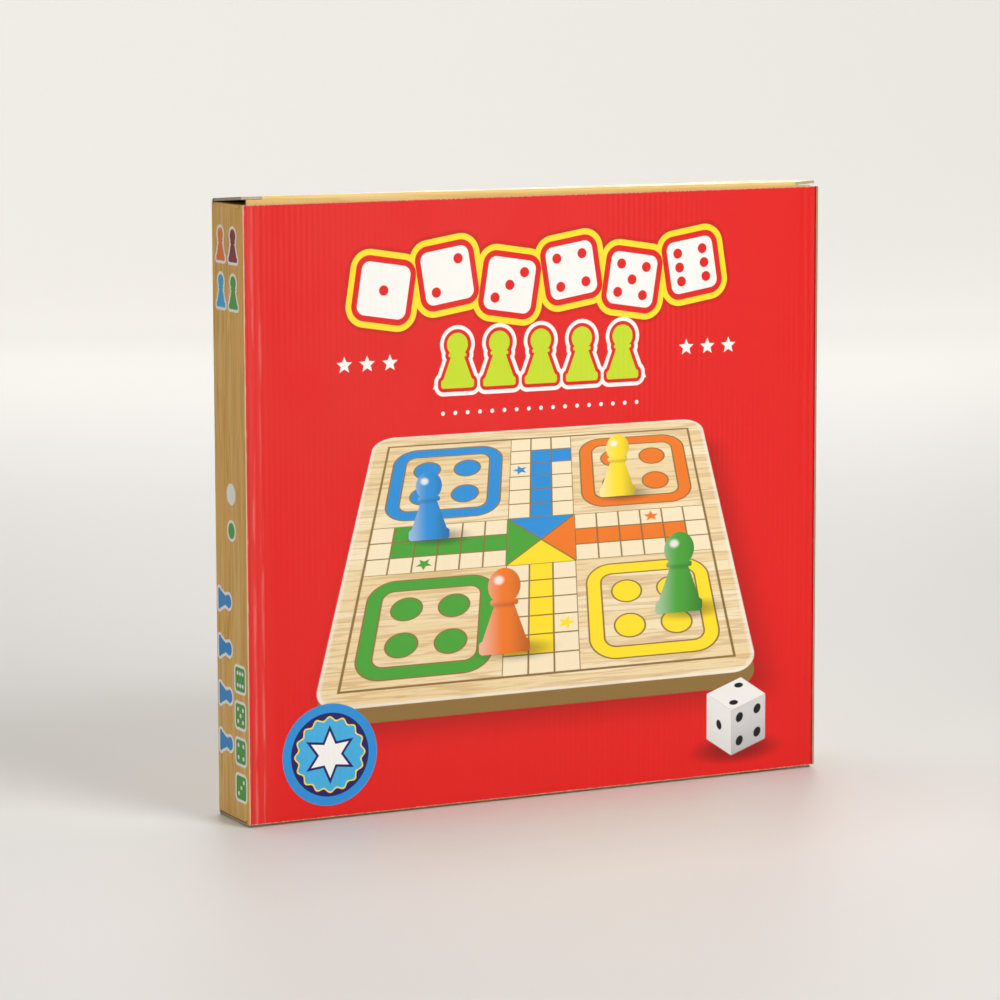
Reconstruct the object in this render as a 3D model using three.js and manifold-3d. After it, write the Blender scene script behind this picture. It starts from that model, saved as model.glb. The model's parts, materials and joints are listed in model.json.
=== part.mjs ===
// A boxed board game. A tuck-end carton of fine-flute corrugated card stands on its bottom lid and
// holds a wooden playing board, a folded card fitment, sixteen pawns and a die.
// Millimetres, +Z up. The front panel faces -Y, and the origin is the middle of the footprint.
import * as THREE from 'three';
import { mergeVertices } from 'three/addons/utils/BufferGeometryUtils.js';
import Module from 'manifold-3d';

const wasm = await Module();
wasm.setup();

// Playing pieces
const boardSize = 312;            // side of the square wooden board
const boardThickness = 9;
const boardCornerRadius = 14;
const boardEdgeRound = 1.5;       // round-over of the board's edges
const pawnHeight = 24;
const pawnBaseRadius = 7.5;
const pawnRimHeight = 2.2;        // straight rim of the base
const pawnNeckRadius = 2.8;
const pawnCollarRadius = 4.2;
const pawnCollarHeight = 1.4;
const pawnHeadRadius = 5.2;
const pawnSkirtPull = 1 / 3;      // how far up the skirt's curve is pulled, as a share
const dieSize = 16;
const dieCornerShare = 0.7;       // radius of the sphere that rounds the corners, over the size
const pipRadius = 1.5;
const pipDepth = 0.7;
const pipSpacing = 4;

// Card
const calliper = 1.5;             // thickness of the corrugated carton card
const foldRadius = 1.4;           // outside radius of a crease
const innerFoldRadius = 0.5;
const fitmentCard = 1;            // thickness of the fitment's solid card
const lapBond = 0.3;              // the glue lap sinks this far into the side panel's card

// Clearances
const creaseGap = 0.15;           // between two panels at their crease
const seatGap = 0.3;              // between a piece and what it rests on or fits in
const runGap = 0.4;               // beside a flap that slides past
const headroom = 4.4;             // above the board
const noseRoom = 0.7;             // in front of the pawns

// Carton and closures
const railWidth = 10.4;           // hollow side rails of the fitment
const cornerPost = 3.2;           // side panel left standing beside each upright fold
const lapWidth = 24;              // glue lap inside the right side panel
const lapTaper = 8;
const lidInset = 0.8;             // lid ends, in from the outside of the side panels
const slitLength = 11.5;          // slit lock at each end of the lid's front crease
const tuckLength = 14;
const tuckInset = 2;              // tuck ends, in from the inside of the side panels
const tuckCornerRadius = 10;
const dustLength = 32;
const dustShoulder = 8;           // straight stretch of a dust flap's edges beside its crease
const dustTipChamfer = 4;

// Opening: flaps that spring with the lid turn by these shares of its angle
const tuckFollow = 0.45;
const dustFollow = 0.4;
const topLidSpring = 4;           // degrees that the top lid stands open at rest
const bottomLidSpring = 0;        // the bottom lid is held shut by the carton's weight

// The tuck's tip swings forward by this much as the lid starts to open
const lidReach = boardThickness + pawnHeight + noseRoom + runGap + calliper + 3 * seatGap;
const tuckSwing = (calliper + tuckLength * (1 - tuckFollow)) ** 2 / (2 * lidReach);
const tuckPlay = tuckSwing + seatGap;

// Carton sizes that follow from what it holds
const fitmentDepth = seatGap + pawnHeight + noseRoom;
const wallAndLap = 2 * calliper + seatGap;
const panelWidth = boardSize + 2 * (seatGap + railWidth + wallAndLap);
const panelHeight = boardSize + headroom + seatGap + 2 * (creaseGap + calliper);
const contentsDepth = seatGap + boardThickness + seatGap + fitmentDepth + runGap;
const cartonDepth = contentsDepth + 3 * calliper + tuckPlay;
const lidDepth = cartonDepth - calliper - tuckPlay;
const lidWidth = panelWidth - 2 * lidInset;

// Heights and depths in the carton
const sleeveBottom = calliper + creaseGap;
const sleeveMiddle = sleeveBottom + panelHeight / 2;
const flapFloor = sleeveBottom + creaseGap + calliper;
const contentsBottom = flapFloor + seatGap;
const backInside = cartonDepth / 2 - calliper;
const boardBack = backInside - seatGap;
const boardFront = boardBack - boardThickness;

// Modelling
const cutOver = 1;                // cutters go this far past what they cut
const mergeReach = 1e-4;          // vertices closer than this are one
const foldFacets = 4;
const pawnFacets = 12;
const holeFacets = 24;
const curveFacets = 4;
const dieFacets = 16;
const pipFacets = 8;

const finishes = {
  redPrint: { color: 0xe2261f, roughness: 0.42, metalness: 0 },
  woodPrint: { color: 0xe3b65c, roughness: 0.45, metalness: 0 },
  greyCard: { color: 0xb9ad9b, roughness: 0.9, metalness: 0 },
  wood: { color: 0xdfbf8a, roughness: 0.55, metalness: 0 },
  ivory: { color: 0xf3efe4, roughness: 0.25, metalness: 0 },
  blue: { color: 0x2b8fd6, roughness: 0.25, metalness: 0 },
  yellow: { color: 0xf2c21b, roughness: 0.25, metalness: 0 },
  green: { color: 0x57ab2c, roughness: 0.25, metalness: 0 },
  orange: { color: 0xee7a22, roughness: 0.25, metalness: 0 },
};

function namedMesh(name, geometry, finish) {
  const mesh = new THREE.Mesh(geometry, new THREE.MeshStandardMaterial(finishes[finish]));
  mesh.name = name;
  return mesh;
}

// Booleans

function toSolid(geometry) {
  const bare = geometry.clone();
  bare.deleteAttribute('normal');
  bare.deleteAttribute('uv');
  const merged = mergeVertices(bare, mergeReach);
  const vertProperties = Float32Array.from(merged.attributes.position.array);
  const triVerts = Uint32Array.from(merged.index.array);
  return new wasm.Manifold(new wasm.Mesh({ numProp: 3, vertProperties, triVerts }));
}

function toGeometry(solid) {
  const { vertProperties, triVerts } = solid.getMesh();
  const geometry = new THREE.BufferGeometry();
  geometry.setAttribute('position', new THREE.BufferAttribute(vertProperties, 3));
  geometry.setIndex(new THREE.BufferAttribute(triVerts, 1));
  geometry.computeVertexNormals();
  return geometry;
}

// Outlines and extrusions

function polygon(points) {
  return new THREE.Shape(points.map(([x, y]) => new THREE.Vector2(x, y)));
}

function roundedRectangle(path, halfX, halfY, radius) {
  path.moveTo(halfX, -halfY + radius);
  path.absarc(halfX - radius, halfY - radius, radius, 0, Math.PI / 2);
  path.absarc(-halfX + radius, halfY - radius, radius, Math.PI / 2, Math.PI);
  path.absarc(-halfX + radius, -halfY + radius, radius, Math.PI, 1.5 * Math.PI);
  path.absarc(halfX - radius, -halfY + radius, radius, 1.5 * Math.PI, 2 * Math.PI);
  path.closePath();
  return path;
}

function extrude(shape, depth) {
  return new THREE.ExtrudeGeometry(shape, { depth, curveSegments: foldFacets, bevelEnabled: false });
}

// Extrudes a section drawn in Y and Z along X, centred on x = 0
function extrudeAlongX(section, width) {
  const turn = new THREE.Matrix4().makeBasis(
    new THREE.Vector3(0, 1, 0),
    new THREE.Vector3(0, 0, 1),
    new THREE.Vector3(1, 0, 0),
  );
  return extrude(section, width).applyMatrix4(turn).translate(-width / 2, 0, 0);
}

// The corner that a fold's rounding takes off, for an edge along X at the origin whose card lies
// on the side given by towards (+1 for +Y, -1 for -Y) and below
function foldCutter(width, towards) {
  const centre = towards * foldRadius;
  const start = towards > 0 ? Math.PI : 0;
  const corner = new THREE.Shape();
  corner.moveTo(centre, cutOver);
  corner.lineTo(-towards * cutOver, cutOver);
  corner.lineTo(-towards * cutOver, -foldRadius);
  corner.lineTo(0, -foldRadius);
  corner.absarc(centre, -foldRadius, foldRadius, start, Math.PI / 2, towards > 0);
  corner.closePath();
  return toSolid(extrudeAlongX(corner, width));
}

// A card flap in its own frame: its crease runs along X, it reaches out along -Y, and its printed
// face is at z = 0. The printed edge at the crease is rounded as a fold is.
function flapSolid(outline, creaseWidth) {
  const sheet = toSolid(extrude(outline, calliper).translate(0, 0, -calliper));
  return sheet.subtract(foldCutter(creaseWidth + 2 * cutOver, -1));
}

// Carton

function sleeve() {
  const ring = roundedRectangle(new THREE.Shape(), panelWidth / 2, cartonDepth / 2, foldRadius);
  const insideX = panelWidth / 2 - calliper;
  ring.holes.push(roundedRectangle(new THREE.Path(), insideX, backInside, innerFoldRadius));
  let card = toSolid(extrude(ring, panelHeight));

  // The side panels stop short at their creases, so that the dust flaps fold in under the lids
  const creaseDrop = 2 * creaseGap + calliper;
  const creaseSpan = cartonDepth - 2 * cornerPost;
  for (const side of [-1, 1]) {
    for (const creaseHeight of [creaseDrop / 2, panelHeight - creaseDrop / 2]) {
      const notch = new THREE.BoxGeometry(2 * (calliper + cutOver), creaseSpan, creaseDrop);
      notch.translate(side * panelWidth / 2, 0, creaseHeight);
      card = card.subtract(toSolid(notch));
    }
  }

  // The glue lap turns in from the back panel and is glued inside the right side panel
  const lapEnd = creaseDrop + calliper;
  const lap = polygon([
    [backInside, lapEnd],
    [backInside, panelHeight - lapEnd],
    [backInside - lapWidth, panelHeight - lapEnd - lapTaper],
    [backInside - lapWidth, lapEnd + lapTaper],
  ]);
  const lapCard = extrudeAlongX(lap, calliper + lapBond);
  lapCard.translate(insideX - (calliper - lapBond) / 2, 0, 0);
  card = card.add(toSolid(lapCard));

  const mesh = namedMesh('carton_sleeve', toGeometry(card), 'redPrint');
  mesh.position.z = sleeveBottom;
  return mesh;
}

function lidSolid() {
  const outline = polygon([
    [-lidWidth / 2, 0],
    [-lidWidth / 2, -lidDepth],
    [lidWidth / 2, -lidDepth],
    [lidWidth / 2, 0],
  ]);
  // Between the slit locks the front edge is folded, and at them it is a raw cut
  const frontFold = foldCutter(lidWidth - 2 * slitLength, 1).translate([0, -lidDepth, 0]);
  return flapSolid(outline, lidWidth).subtract(frontFold);
}

function tuckGeometry() {
  const half = panelWidth / 2 - calliper - tuckInset;
  const middle = half - tuckCornerRadius;
  const corner = -tuckLength + tuckCornerRadius;
  const outline = new THREE.Shape();
  outline.moveTo(half, 0);
  outline.lineTo(-half, 0);
  outline.lineTo(-half, corner);
  outline.absarc(-middle, corner, tuckCornerRadius, Math.PI, 1.5 * Math.PI);
  outline.absarc(middle, corner, tuckCornerRadius, 1.5 * Math.PI, 2 * Math.PI);
  outline.closePath();
  // Hung downwards, with the crease at its inner top edge
  return extrude(outline, calliper).rotateX(Math.PI / 2);
}

// A dust flap's far edges lean away from the lid's crease and from the tuck, which both sweep past
// it: at each distance from its own crease it stays further from the lid's crease than it rises
function dustGeometry(side) {
  const half = cartonDepth / 2 - cornerPost - seatGap;
  const towardsTuck = half - Math.max(0, tuckPlay + 2 * calliper + runGap - cornerPost - seatGap);
  const lidLean = dustFollow * dustLength + calliper - cornerPost;
  const tuckLean = dustFollow * dustLength / 2;
  const corners = [
    [-towardsTuck, 0],
    [-towardsTuck, -dustShoulder],
    [-towardsTuck + tuckLean, -dustLength + dustTipChamfer],
    [-towardsTuck + tuckLean + dustTipChamfer, -dustLength],
    [half - lidLean - dustTipChamfer, -dustLength],
    [half - lidLean, -dustLength + dustTipChamfer],
    [half, -dustShoulder],
    [half, 0],
  ];
  const outline = polygon(corners.map(([x, y]) => [-side * x, y]));
  return toGeometry(flapSolid(outline, cartonDepth));
}

// Everything that closes one end of the sleeve, drawn for the top end with z = 0 at the middle of
// the sleeve. Each hinge is a group that stands on its crease.
function closure(end, leftName, rightName, spring) {
  const group = new THREE.Group();
  const sleeveEnd = panelHeight / 2;

  const lidHinge = new THREE.Group();
  lidHinge.name = `${end}_lid_hinge`;
  lidHinge.position.set(0, cartonDepth / 2, sleeveEnd + creaseGap + calliper);
  lidHinge.rotation.x = -THREE.MathUtils.degToRad(spring);
  lidHinge.add(namedMesh(`${end}_lid`, toGeometry(lidSolid()), 'woodPrint'));
  group.add(lidHinge);

  const tuckHinge = new THREE.Group();
  tuckHinge.name = `${end}_tuck_hinge`;
  tuckHinge.position.set(0, calliper - lidDepth, -calliper - creaseGap);
  tuckHinge.rotation.x = THREE.MathUtils.degToRad(spring * tuckFollow);
  tuckHinge.add(namedMesh(`${end}_tuck`, tuckGeometry(), 'woodPrint'));
  lidHinge.add(tuckHinge);

  for (const side of [-1, 1]) {
    const name = side < 0 ? leftName : rightName;
    const dustHinge = new THREE.Group();
    dustHinge.name = `${name}_hinge`;
    dustHinge.position.set(side * panelWidth / 2, 0, sleeveEnd - creaseGap);
    dustHinge.rotation.y = side * THREE.MathUtils.degToRad(spring * dustFollow);
    const flap = namedMesh(name, dustGeometry(side), 'woodPrint');
    flap.rotation.z = -side * Math.PI / 2;
    dustHinge.add(flap);
    group.add(dustHinge);
  }
  group.position.z = sleeveMiddle;
  return group;
}

// Contents

function board() {
  const half = boardSize / 2 - boardEdgeRound;
  const outline = roundedRectangle(new THREE.Shape(), half, half, boardCornerRadius - boardEdgeRound);
  const geometry = new THREE.ExtrudeGeometry(outline, {
    depth: boardThickness - 2 * boardEdgeRound,
    bevelSize: boardEdgeRound,
    bevelThickness: boardEdgeRound,
    bevelSegments: 2,
    curveSegments: curveFacets,
  });
  const mesh = namedMesh('playing_board', geometry, 'wood');
  mesh.rotation.x = Math.PI / 2;
  mesh.position.set(0, boardBack - boardEdgeRound, contentsBottom + boardSize / 2);
  return mesh;
}

// Where the pawns and the die stand, in X and Z: each colour is a block of two by two
const pawnColours = ['blue', 'yellow', 'green', 'orange'];
const pawnsEach = 4;
const blockColumns = 2;
const pawnsAcross = blockColumns * pawnColours.length;
const pawnPitch = boardSize / pawnsAcross;
const rowHeight = (row) => contentsBottom + (row + 1) * pawnPitch;
const dieRow = 2;

function pawnPlaces() {
  return pawnColours.flatMap((colour, block) => Array.from({ length: pawnsEach }, (_, index) => {
    const column = blockColumns * block + index % blockColumns;
    const row = Math.floor(index / blockColumns);
    return {
      name: `pawn_${colour}_${index + 1}`,
      colour,
      x: (column - (pawnsAcross - 1) / 2) * pawnPitch,
      z: rowHeight(row),
    };
  }));
}

// A strip of card folded at right angles along the points of its middle line
function foldedStrip(points, thickness) {
  const side = (offset) => points.map((point, index) => {
    const before = index > 0 ? point.clone().sub(points[index - 1]).normalize() : null;
    const after = index < points.length - 1 ? points[index + 1].clone().sub(point).normalize() : null;
    const normals = [before, after].filter(Boolean).map((way) => new THREE.Vector2(-way.y, way.x));
    return normals.reduce((corner, normal) => corner.addScaledVector(normal, offset), point.clone());
  });
  return new THREE.Shape([...side(-thickness / 2), ...side(thickness / 2).reverse()]);
}

// The fitment's deck lies on the board, with a hole for each piece, and its edges roll forward into
// two hollow rails that fill the carton's depth and keep the board in the middle
function fitment() {
  const middle = fitmentCard / 2;
  const inner = boardSize / 2 + seatGap + middle;
  const outer = boardSize / 2 + seatGap + railWidth - middle;
  const deck = boardFront - seatGap - middle;
  const front = boardFront - seatGap - fitmentDepth + middle;
  const back = boardBack - middle;
  const half = [[inner, deck], [inner, front], [outer, front], [outer, back], [inner - middle, back]];
  const line = [
    ...half.slice().reverse().map(([x, y]) => new THREE.Vector2(-x, y)),
    ...half.map(([x, y]) => new THREE.Vector2(x, y)),
  ];
  let card = toSolid(extrude(foldedStrip(line, fitmentCard), boardSize));

  const cutDepth = fitmentCard + 2 * cutOver;
  const holeRadius = pawnBaseRadius + seatGap;
  for (const place of pawnPlaces()) {
    const hole = new THREE.CylinderGeometry(holeRadius, holeRadius, cutDepth, holeFacets);
    hole.translate(place.x, deck, place.z - contentsBottom);
    card = card.subtract(toSolid(hole));
  }
  const dieHole = new THREE.BoxGeometry(dieSize + 2 * seatGap, cutDepth, dieSize + 2 * seatGap);
  dieHole.translate(0, deck, rowHeight(dieRow) - contentsBottom);
  card = card.subtract(toSolid(dieHole));

  const mesh = namedMesh('card_fitment', toGeometry(card), 'greyCard');
  mesh.position.z = contentsBottom;
  return mesh;
}

function pawnGeometry() {
  const headHeight = pawnHeight - pawnHeadRadius;
  const headStart = -Math.acos(pawnNeckRadius / pawnHeadRadius);
  const collarTop = headHeight + pawnHeadRadius * Math.sin(headStart);
  const collarFoot = collarTop - pawnCollarHeight;
  const profile = new THREE.Path();
  profile.moveTo(0, 0);
  profile.lineTo(pawnBaseRadius, 0);
  profile.lineTo(pawnBaseRadius, pawnRimHeight);
  const skirtHandle = (pawnRimHeight + collarFoot) * pawnSkirtPull;
  profile.quadraticCurveTo(pawnNeckRadius, skirtHandle, pawnNeckRadius, collarFoot);
  profile.lineTo(pawnCollarRadius, collarFoot);
  profile.lineTo(pawnCollarRadius, collarTop);
  profile.lineTo(pawnNeckRadius, collarTop);
  profile.absarc(0, headHeight, pawnHeadRadius, headStart, Math.PI / 2);
  const points = profile.getPoints(curveFacets);
  points[points.length - 1].x = 0;
  return new THREE.LatheGeometry(points, pawnFacets);
}

function pawn(place) {
  const mesh = namedMesh(place.name, pawnGeometry(), place.colour);
  mesh.rotation.x = Math.PI;
  mesh.position.set(place.x, boardFront - seatGap, place.z);
  return mesh;
}

// Places of the pips on a face, in steps from its middle
function pipPlaces(count) {
  const diagonal = [[-1, -1], [1, 1]];
  const crossDiagonal = [[-1, 1], [1, -1]];
  const sides = [[-1, 0], [1, 0]];
  return [
    ...(count % 2 ? [[0, 0]] : []),
    ...(count > 1 ? diagonal : []),
    ...(count > 3 ? crossDiagonal : []),
    ...(count > 5 ? sides : []),
  ];
}

function die() {
  const ball = new THREE.SphereGeometry(dieCornerShare * dieSize, dieFacets, dieFacets / 2);
  let cube = toSolid(new THREE.BoxGeometry(dieSize, dieSize, dieSize)).intersect(toSolid(ball));
  // Opposite faces add up to seven
  const faces = [
    { count: 1, out: [0, -1, 0], across: [1, 0, 0], up: [0, 0, 1] },
    { count: 6, out: [0, 1, 0], across: [1, 0, 0], up: [0, 0, 1] },
    { count: 2, out: [1, 0, 0], across: [0, 1, 0], up: [0, 0, 1] },
    { count: 5, out: [-1, 0, 0], across: [0, 1, 0], up: [0, 0, 1] },
    { count: 3, out: [0, 0, 1], across: [1, 0, 0], up: [0, 1, 0] },
    { count: 4, out: [0, 0, -1], across: [1, 0, 0], up: [0, 1, 0] },
  ];
  for (const face of faces) {
    for (const [column, row] of pipPlaces(face.count)) {
      const place = new THREE.Vector3(...face.out).multiplyScalar(dieSize / 2 + pipRadius - pipDepth);
      place.addScaledVector(new THREE.Vector3(...face.across), column * pipSpacing);
      place.addScaledVector(new THREE.Vector3(...face.up), row * pipSpacing);
      const pip = new THREE.SphereGeometry(pipRadius, pipFacets, pipFacets / 2);
      pip.translate(...place);
      cube = cube.subtract(toSolid(pip));
    }
  }
  const mesh = namedMesh('die', toGeometry(cube), 'ivory');
  mesh.position.set(0, boardFront - seatGap - dieSize / 2, rowHeight(dieRow));
  return mesh;
}

const game = new THREE.Group();
game.name = 'boxed_game';
game.add(sleeve());
game.add(closure('top', 'top_dust_left', 'top_dust_right', topLidSpring));
// Turned end for end, the same closure shuts the bottom, still hinged on the back panel
const bottomEnd = closure('bottom', 'bottom_dust_right', 'bottom_dust_left', bottomLidSpring);
bottomEnd.rotation.y = Math.PI;
game.add(bottomEnd);
game.add(board());
game.add(fitment());
for (const place of pawnPlaces()) {
  game.add(pawn(place));
}
game.add(die());

export default game;
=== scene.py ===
"""Dresses a boxed board game: a tuck-end carton of fine-flute card with printed faces, and the wooden
board, card fitment, pawns and die inside it. Sizes are millimetres, and finished meshes are metres."""

import json
import logging
import math
from dataclasses import dataclass, field
from enum import Enum, IntEnum
from functools import reduce
from typing import Callable, Optional, Sequence, Union

import bmesh
import bpy
from bmesh.types import BMEdge, BMesh, BMFace, BMVert
from bpy.types import Material, Node, NodeSocket, Object
from mathutils import Matrix, Vector

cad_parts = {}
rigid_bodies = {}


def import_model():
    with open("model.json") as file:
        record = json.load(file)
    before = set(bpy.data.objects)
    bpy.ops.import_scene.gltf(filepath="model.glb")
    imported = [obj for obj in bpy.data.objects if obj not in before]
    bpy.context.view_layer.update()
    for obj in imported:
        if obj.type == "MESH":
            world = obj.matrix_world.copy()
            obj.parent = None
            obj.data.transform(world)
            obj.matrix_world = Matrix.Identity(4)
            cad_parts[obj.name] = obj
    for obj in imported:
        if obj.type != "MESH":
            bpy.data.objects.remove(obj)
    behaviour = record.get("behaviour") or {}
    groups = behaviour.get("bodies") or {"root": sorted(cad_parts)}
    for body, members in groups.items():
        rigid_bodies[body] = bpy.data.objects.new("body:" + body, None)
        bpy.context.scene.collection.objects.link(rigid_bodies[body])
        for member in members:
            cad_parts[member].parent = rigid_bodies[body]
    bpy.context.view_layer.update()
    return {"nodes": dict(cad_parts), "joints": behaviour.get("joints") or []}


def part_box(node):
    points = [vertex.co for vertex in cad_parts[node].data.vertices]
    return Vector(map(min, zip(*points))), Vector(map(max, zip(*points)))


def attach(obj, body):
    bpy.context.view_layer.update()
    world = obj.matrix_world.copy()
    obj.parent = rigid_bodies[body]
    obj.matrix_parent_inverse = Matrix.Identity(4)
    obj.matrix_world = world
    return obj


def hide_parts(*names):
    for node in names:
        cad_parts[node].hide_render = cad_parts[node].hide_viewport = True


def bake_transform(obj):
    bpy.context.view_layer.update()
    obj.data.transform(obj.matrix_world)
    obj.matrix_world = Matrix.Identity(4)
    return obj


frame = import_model()

MM = 0.001
CRISP = math.radians(35.0)        # edges sharper than this stay crisp
SNAP = 0.01                       # places this near count as one
FACING = 0.9                      # a face whose normal has this share of an axis looks along it
HALFWAY = math.sqrt(0.5)          # share of a normal that looks halfway between two axes
log = logging.getLogger("boxed_game")

Number = Union["Value", float]
Ink = tuple[float, float, float, float]
Colour = Union["Value", "Inks"]
Point = tuple[float, float]
Place = tuple[float, float, float]
Part = Union[BMVert, BMEdge, BMFace]


# Shader maths


def operator(operation: str, reflected: bool = False) -> Callable[..., "Value"]:
    """Makes a method of Value out of one operation of the Math node.

    Args:
        operation: the node's operation.
        reflected: whether the other number comes first.

    Returns:
        The method.
    """
    def method(self: "Value", *others: Number) -> "Value":
        """Runs the operation on the value and any others."""
        terms = (*others, self) if reflected else (self, *others)
        return self.paint.math(operation, *terms)

    return method


class Value:
    """A socket on its way through a material, with the operators that its numbers take."""

    __add__, __radd__ = operator("ADD"), operator("ADD", reflected=True)
    __sub__, __rsub__ = operator("SUBTRACT"), operator("SUBTRACT", reflected=True)
    __mul__, __rmul__ = operator("MULTIPLY"), operator("MULTIPLY", reflected=True)
    __truediv__, __rtruediv__ = operator("DIVIDE"), operator("DIVIDE", reflected=True)
    __mod__ = operator("FLOORED_MODULO")
    __abs__ = operator("ABSOLUTE")
    __gt__, __lt__ = operator("GREATER_THAN"), operator("LESS_THAN")  # 1 where that is so, else 0
    least, most = operator("MINIMUM"), operator("MAXIMUM")
    root, nearest = operator("SQRT"), operator("ROUND")
    sine, cosine = operator("SINE"), operator("COSINE")

    def __init__(self, paint: "Paint", socket: NodeSocket) -> None:
        """Keeps the material's nodes and the socket."""
        self.paint = paint
        self.socket = socket

    def inside(self, soft: float = 0.2) -> "Value":
        """The mask of a distance: 1 inside, 0 outside, with an edge that fades over this width."""
        return self.paint.math("MULTIPLY_ADD", self, -1.0 / soft, 0.5, clamp=True)

    def ramp(self, low: float, high: float) -> "Value":
        """A smooth step from 0 at low to 1 at high."""
        settings = {"interpolation_type": "SMOOTHSTEP"}
        return self.paint.node("ShaderNodeMapRange", settings, {0: self, 1: low, 2: high})

    def inked(self, over: Colour, mask: Number) -> "Value":
        """This colour with another laid over it where the mask is 1."""
        return self.paint.mix(self, over, mask)

    def layered(self, shape: "Value", *layers: tuple["Inks", float]) -> "Value":
        """Lays a shape over this colour in several inks, one on the other.

        Args:
            shape: distance from its edge.
            layers: each ink, and how far beyond that edge it reaches.

        Returns:
            The colour.
        """
        colour = self
        for over, reach in layers:
            colour = colour.inked(over, (shape - reach).inside())
        return colour


class Paint:
    """One material and the nodes that its expressions make. Places are in millimetres, in the row frame."""

    def __init__(self, name: str) -> None:
        """Makes the material with its one shader, and reads where a point of the surface is.

        Args:
            name: the material's name.
        """
        self.material = bpy.data.materials.new(name)
        self.material.use_nodes = True
        self.tree = self.material.node_tree
        self.shader = next(n for n in self.tree.nodes if n.type == "BSDF_PRINCIPLED")
        at = self.node("ShaderNodeTexCoord", {}, {}, output="Object")
        self.at = self.node("ShaderNodeVectorMath", {"operation": "SCALE"}, {0: at, "Scale": 1 / MM})
        self.place = [self.node("ShaderNodeSeparateXYZ", {}, {0: self.at}, output=i) for i in range(3)]

    def feed(self, node: Node, inputs: dict) -> None:
        """Links or sets a node's sockets.

        Args:
            node: the node.
            inputs: numbers, inks or values for its sockets, by name or place.
        """
        for key, given in inputs.items():
            if isinstance(given, Value):
                self.tree.links.new(given.socket, node.inputs[key])
            else:
                node.inputs[key].default_value = given.value if isinstance(given, Inks) else given

    def node(self, kind: str, settings: dict, inputs: dict, output: Union[int, str] = 0) -> Value:
        """Makes one node.

        Args:
            kind: the node's type.
            settings: its settings, which are set first.
            inputs: numbers, inks or values for its sockets, by name or place.
            output: which of its outputs is wanted, by name or place.

        Returns:
            That output.
        """
        made = self.tree.nodes.new(kind)
        for name, setting in settings.items():
            setattr(made, name, setting)
        self.feed(made, inputs)
        return Value(self, made.outputs[output])

    def math(self, operation: str, *terms: Number, clamp: bool = False) -> Value:
        """Makes one Math node on these terms."""
        settings = {"operation": operation, "use_clamp": clamp}
        return self.node("ShaderNodeMath", settings, dict(enumerate(terms)))

    def noise(self, pitch: Sequence[float], detail: float = 2.0, seed: float = 0.0) -> Value:
        """Smooth noise from 0 to 1 over the surface.

        Args:
            pitch: size of a patch along X, Y and Z, in millimetres.
            detail: how many finer layers it has.
            seed: shifts the pattern.

        Returns:
            The noise.
        """
        inputs = {0: self.at, "Scale": [1 / p for p in pitch], "Location": (seed, seed, seed)}
        at = self.node("ShaderNodeMapping", {"vector_type": "POINT"}, inputs)
        return self.node("ShaderNodeTexNoise", {}, {"Vector": at, "Scale": 1.0, "Detail": detail})

    def mix(self, under: Colour, over: Colour, mask: Number) -> Value:
        """Lays one colour over another where the mask is 1."""
        return self.node("ShaderNodeMix", {"data_type": "RGBA"}, {0: mask, 6: under, 7: over}, output=2)

    def dress(self, colour: Colour, roughness: Number, height: Optional[Value] = None,
              depth: float = 0.1, others: Optional[dict] = None) -> Material:
        """Feeds the shader.

        Args:
            colour: the base colour.
            roughness: the roughness.
            height: relief from 0 to 1, for a bump.
            depth: that relief's depth, in millimetres.
            others: what its other sockets take, by name.

        Returns:
            The material.
        """
        inputs = {"Base Color": colour, "Roughness": roughness, **(others or {})}
        if height is not None:
            inputs["Normal"] = self.node("ShaderNodeBump", {}, {"Height": height, "Distance": depth * MM})
        self.feed(self.shader, inputs)
        return self.material


def ink(code: str) -> Ink:
    """Reads a colour's code.

    Args:
        code: red, green and blue as two hexadecimal digits each.

    Returns:
        The linear colour.
    """
    def linear(share: float) -> float:
        """Takes the display curve off one channel."""
        return share / 12.92 if share < 0.04045 else ((share + 0.055) / 1.055) ** 2.4

    red, green, blue = (linear(int(code[i:i + 2], 16) / 255) for i in (0, 2, 4))
    return red, green, blue, 1.0


class Inks(Enum):
    """The printer's inks, the plastics and the bare papers."""

    RED = ink("e01a14")
    DEEP_RED = ink("8e0f0c")
    WHITE = ink("f6f4ee")
    YELLOW = ink("ffdf2a")
    LIME = ink("c6db27")
    BLUE = ink("2b8fd6")
    SKY = ink("45aee0")
    NAVY = ink("231a66")
    GREEN = ink("4aa237")
    ORANGE = ink("ee7a22")
    BLACK = ink("17151a")
    GREY = ink("a7a9ac")
    WOOD = ink("e6b052")
    WOOD_PALE = ink("e8c070")
    # paler wood for the lids, painted light
    WOOD_BRIGHT = ink("f0d189")
    WOOD_DARK = ink("c4842e")
    WOOD_EDGE = ink("8d6f3a")
    BEECH = ink("ecd3a1")
    CREAM = ink("f6e6c2")
    BEECH_DARK = ink("c79c62")
    KRAFT = ink("c4b398")
    KRAFT_DARK = ink("a08c70")
    PAPER = ink("efe6d6")
    CARD = ink("b7ab98")
    CARD_DARK = ink("8c8071")
    FLOOR = ink("e4e1dc")
    BACKDROP = ink("c4c1bc")
    BLACK_OUT = ink("000000")


BEECH_TONES = (Inks.BEECH, Inks.CREAM, Inks.BEECH_DARK)


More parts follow.
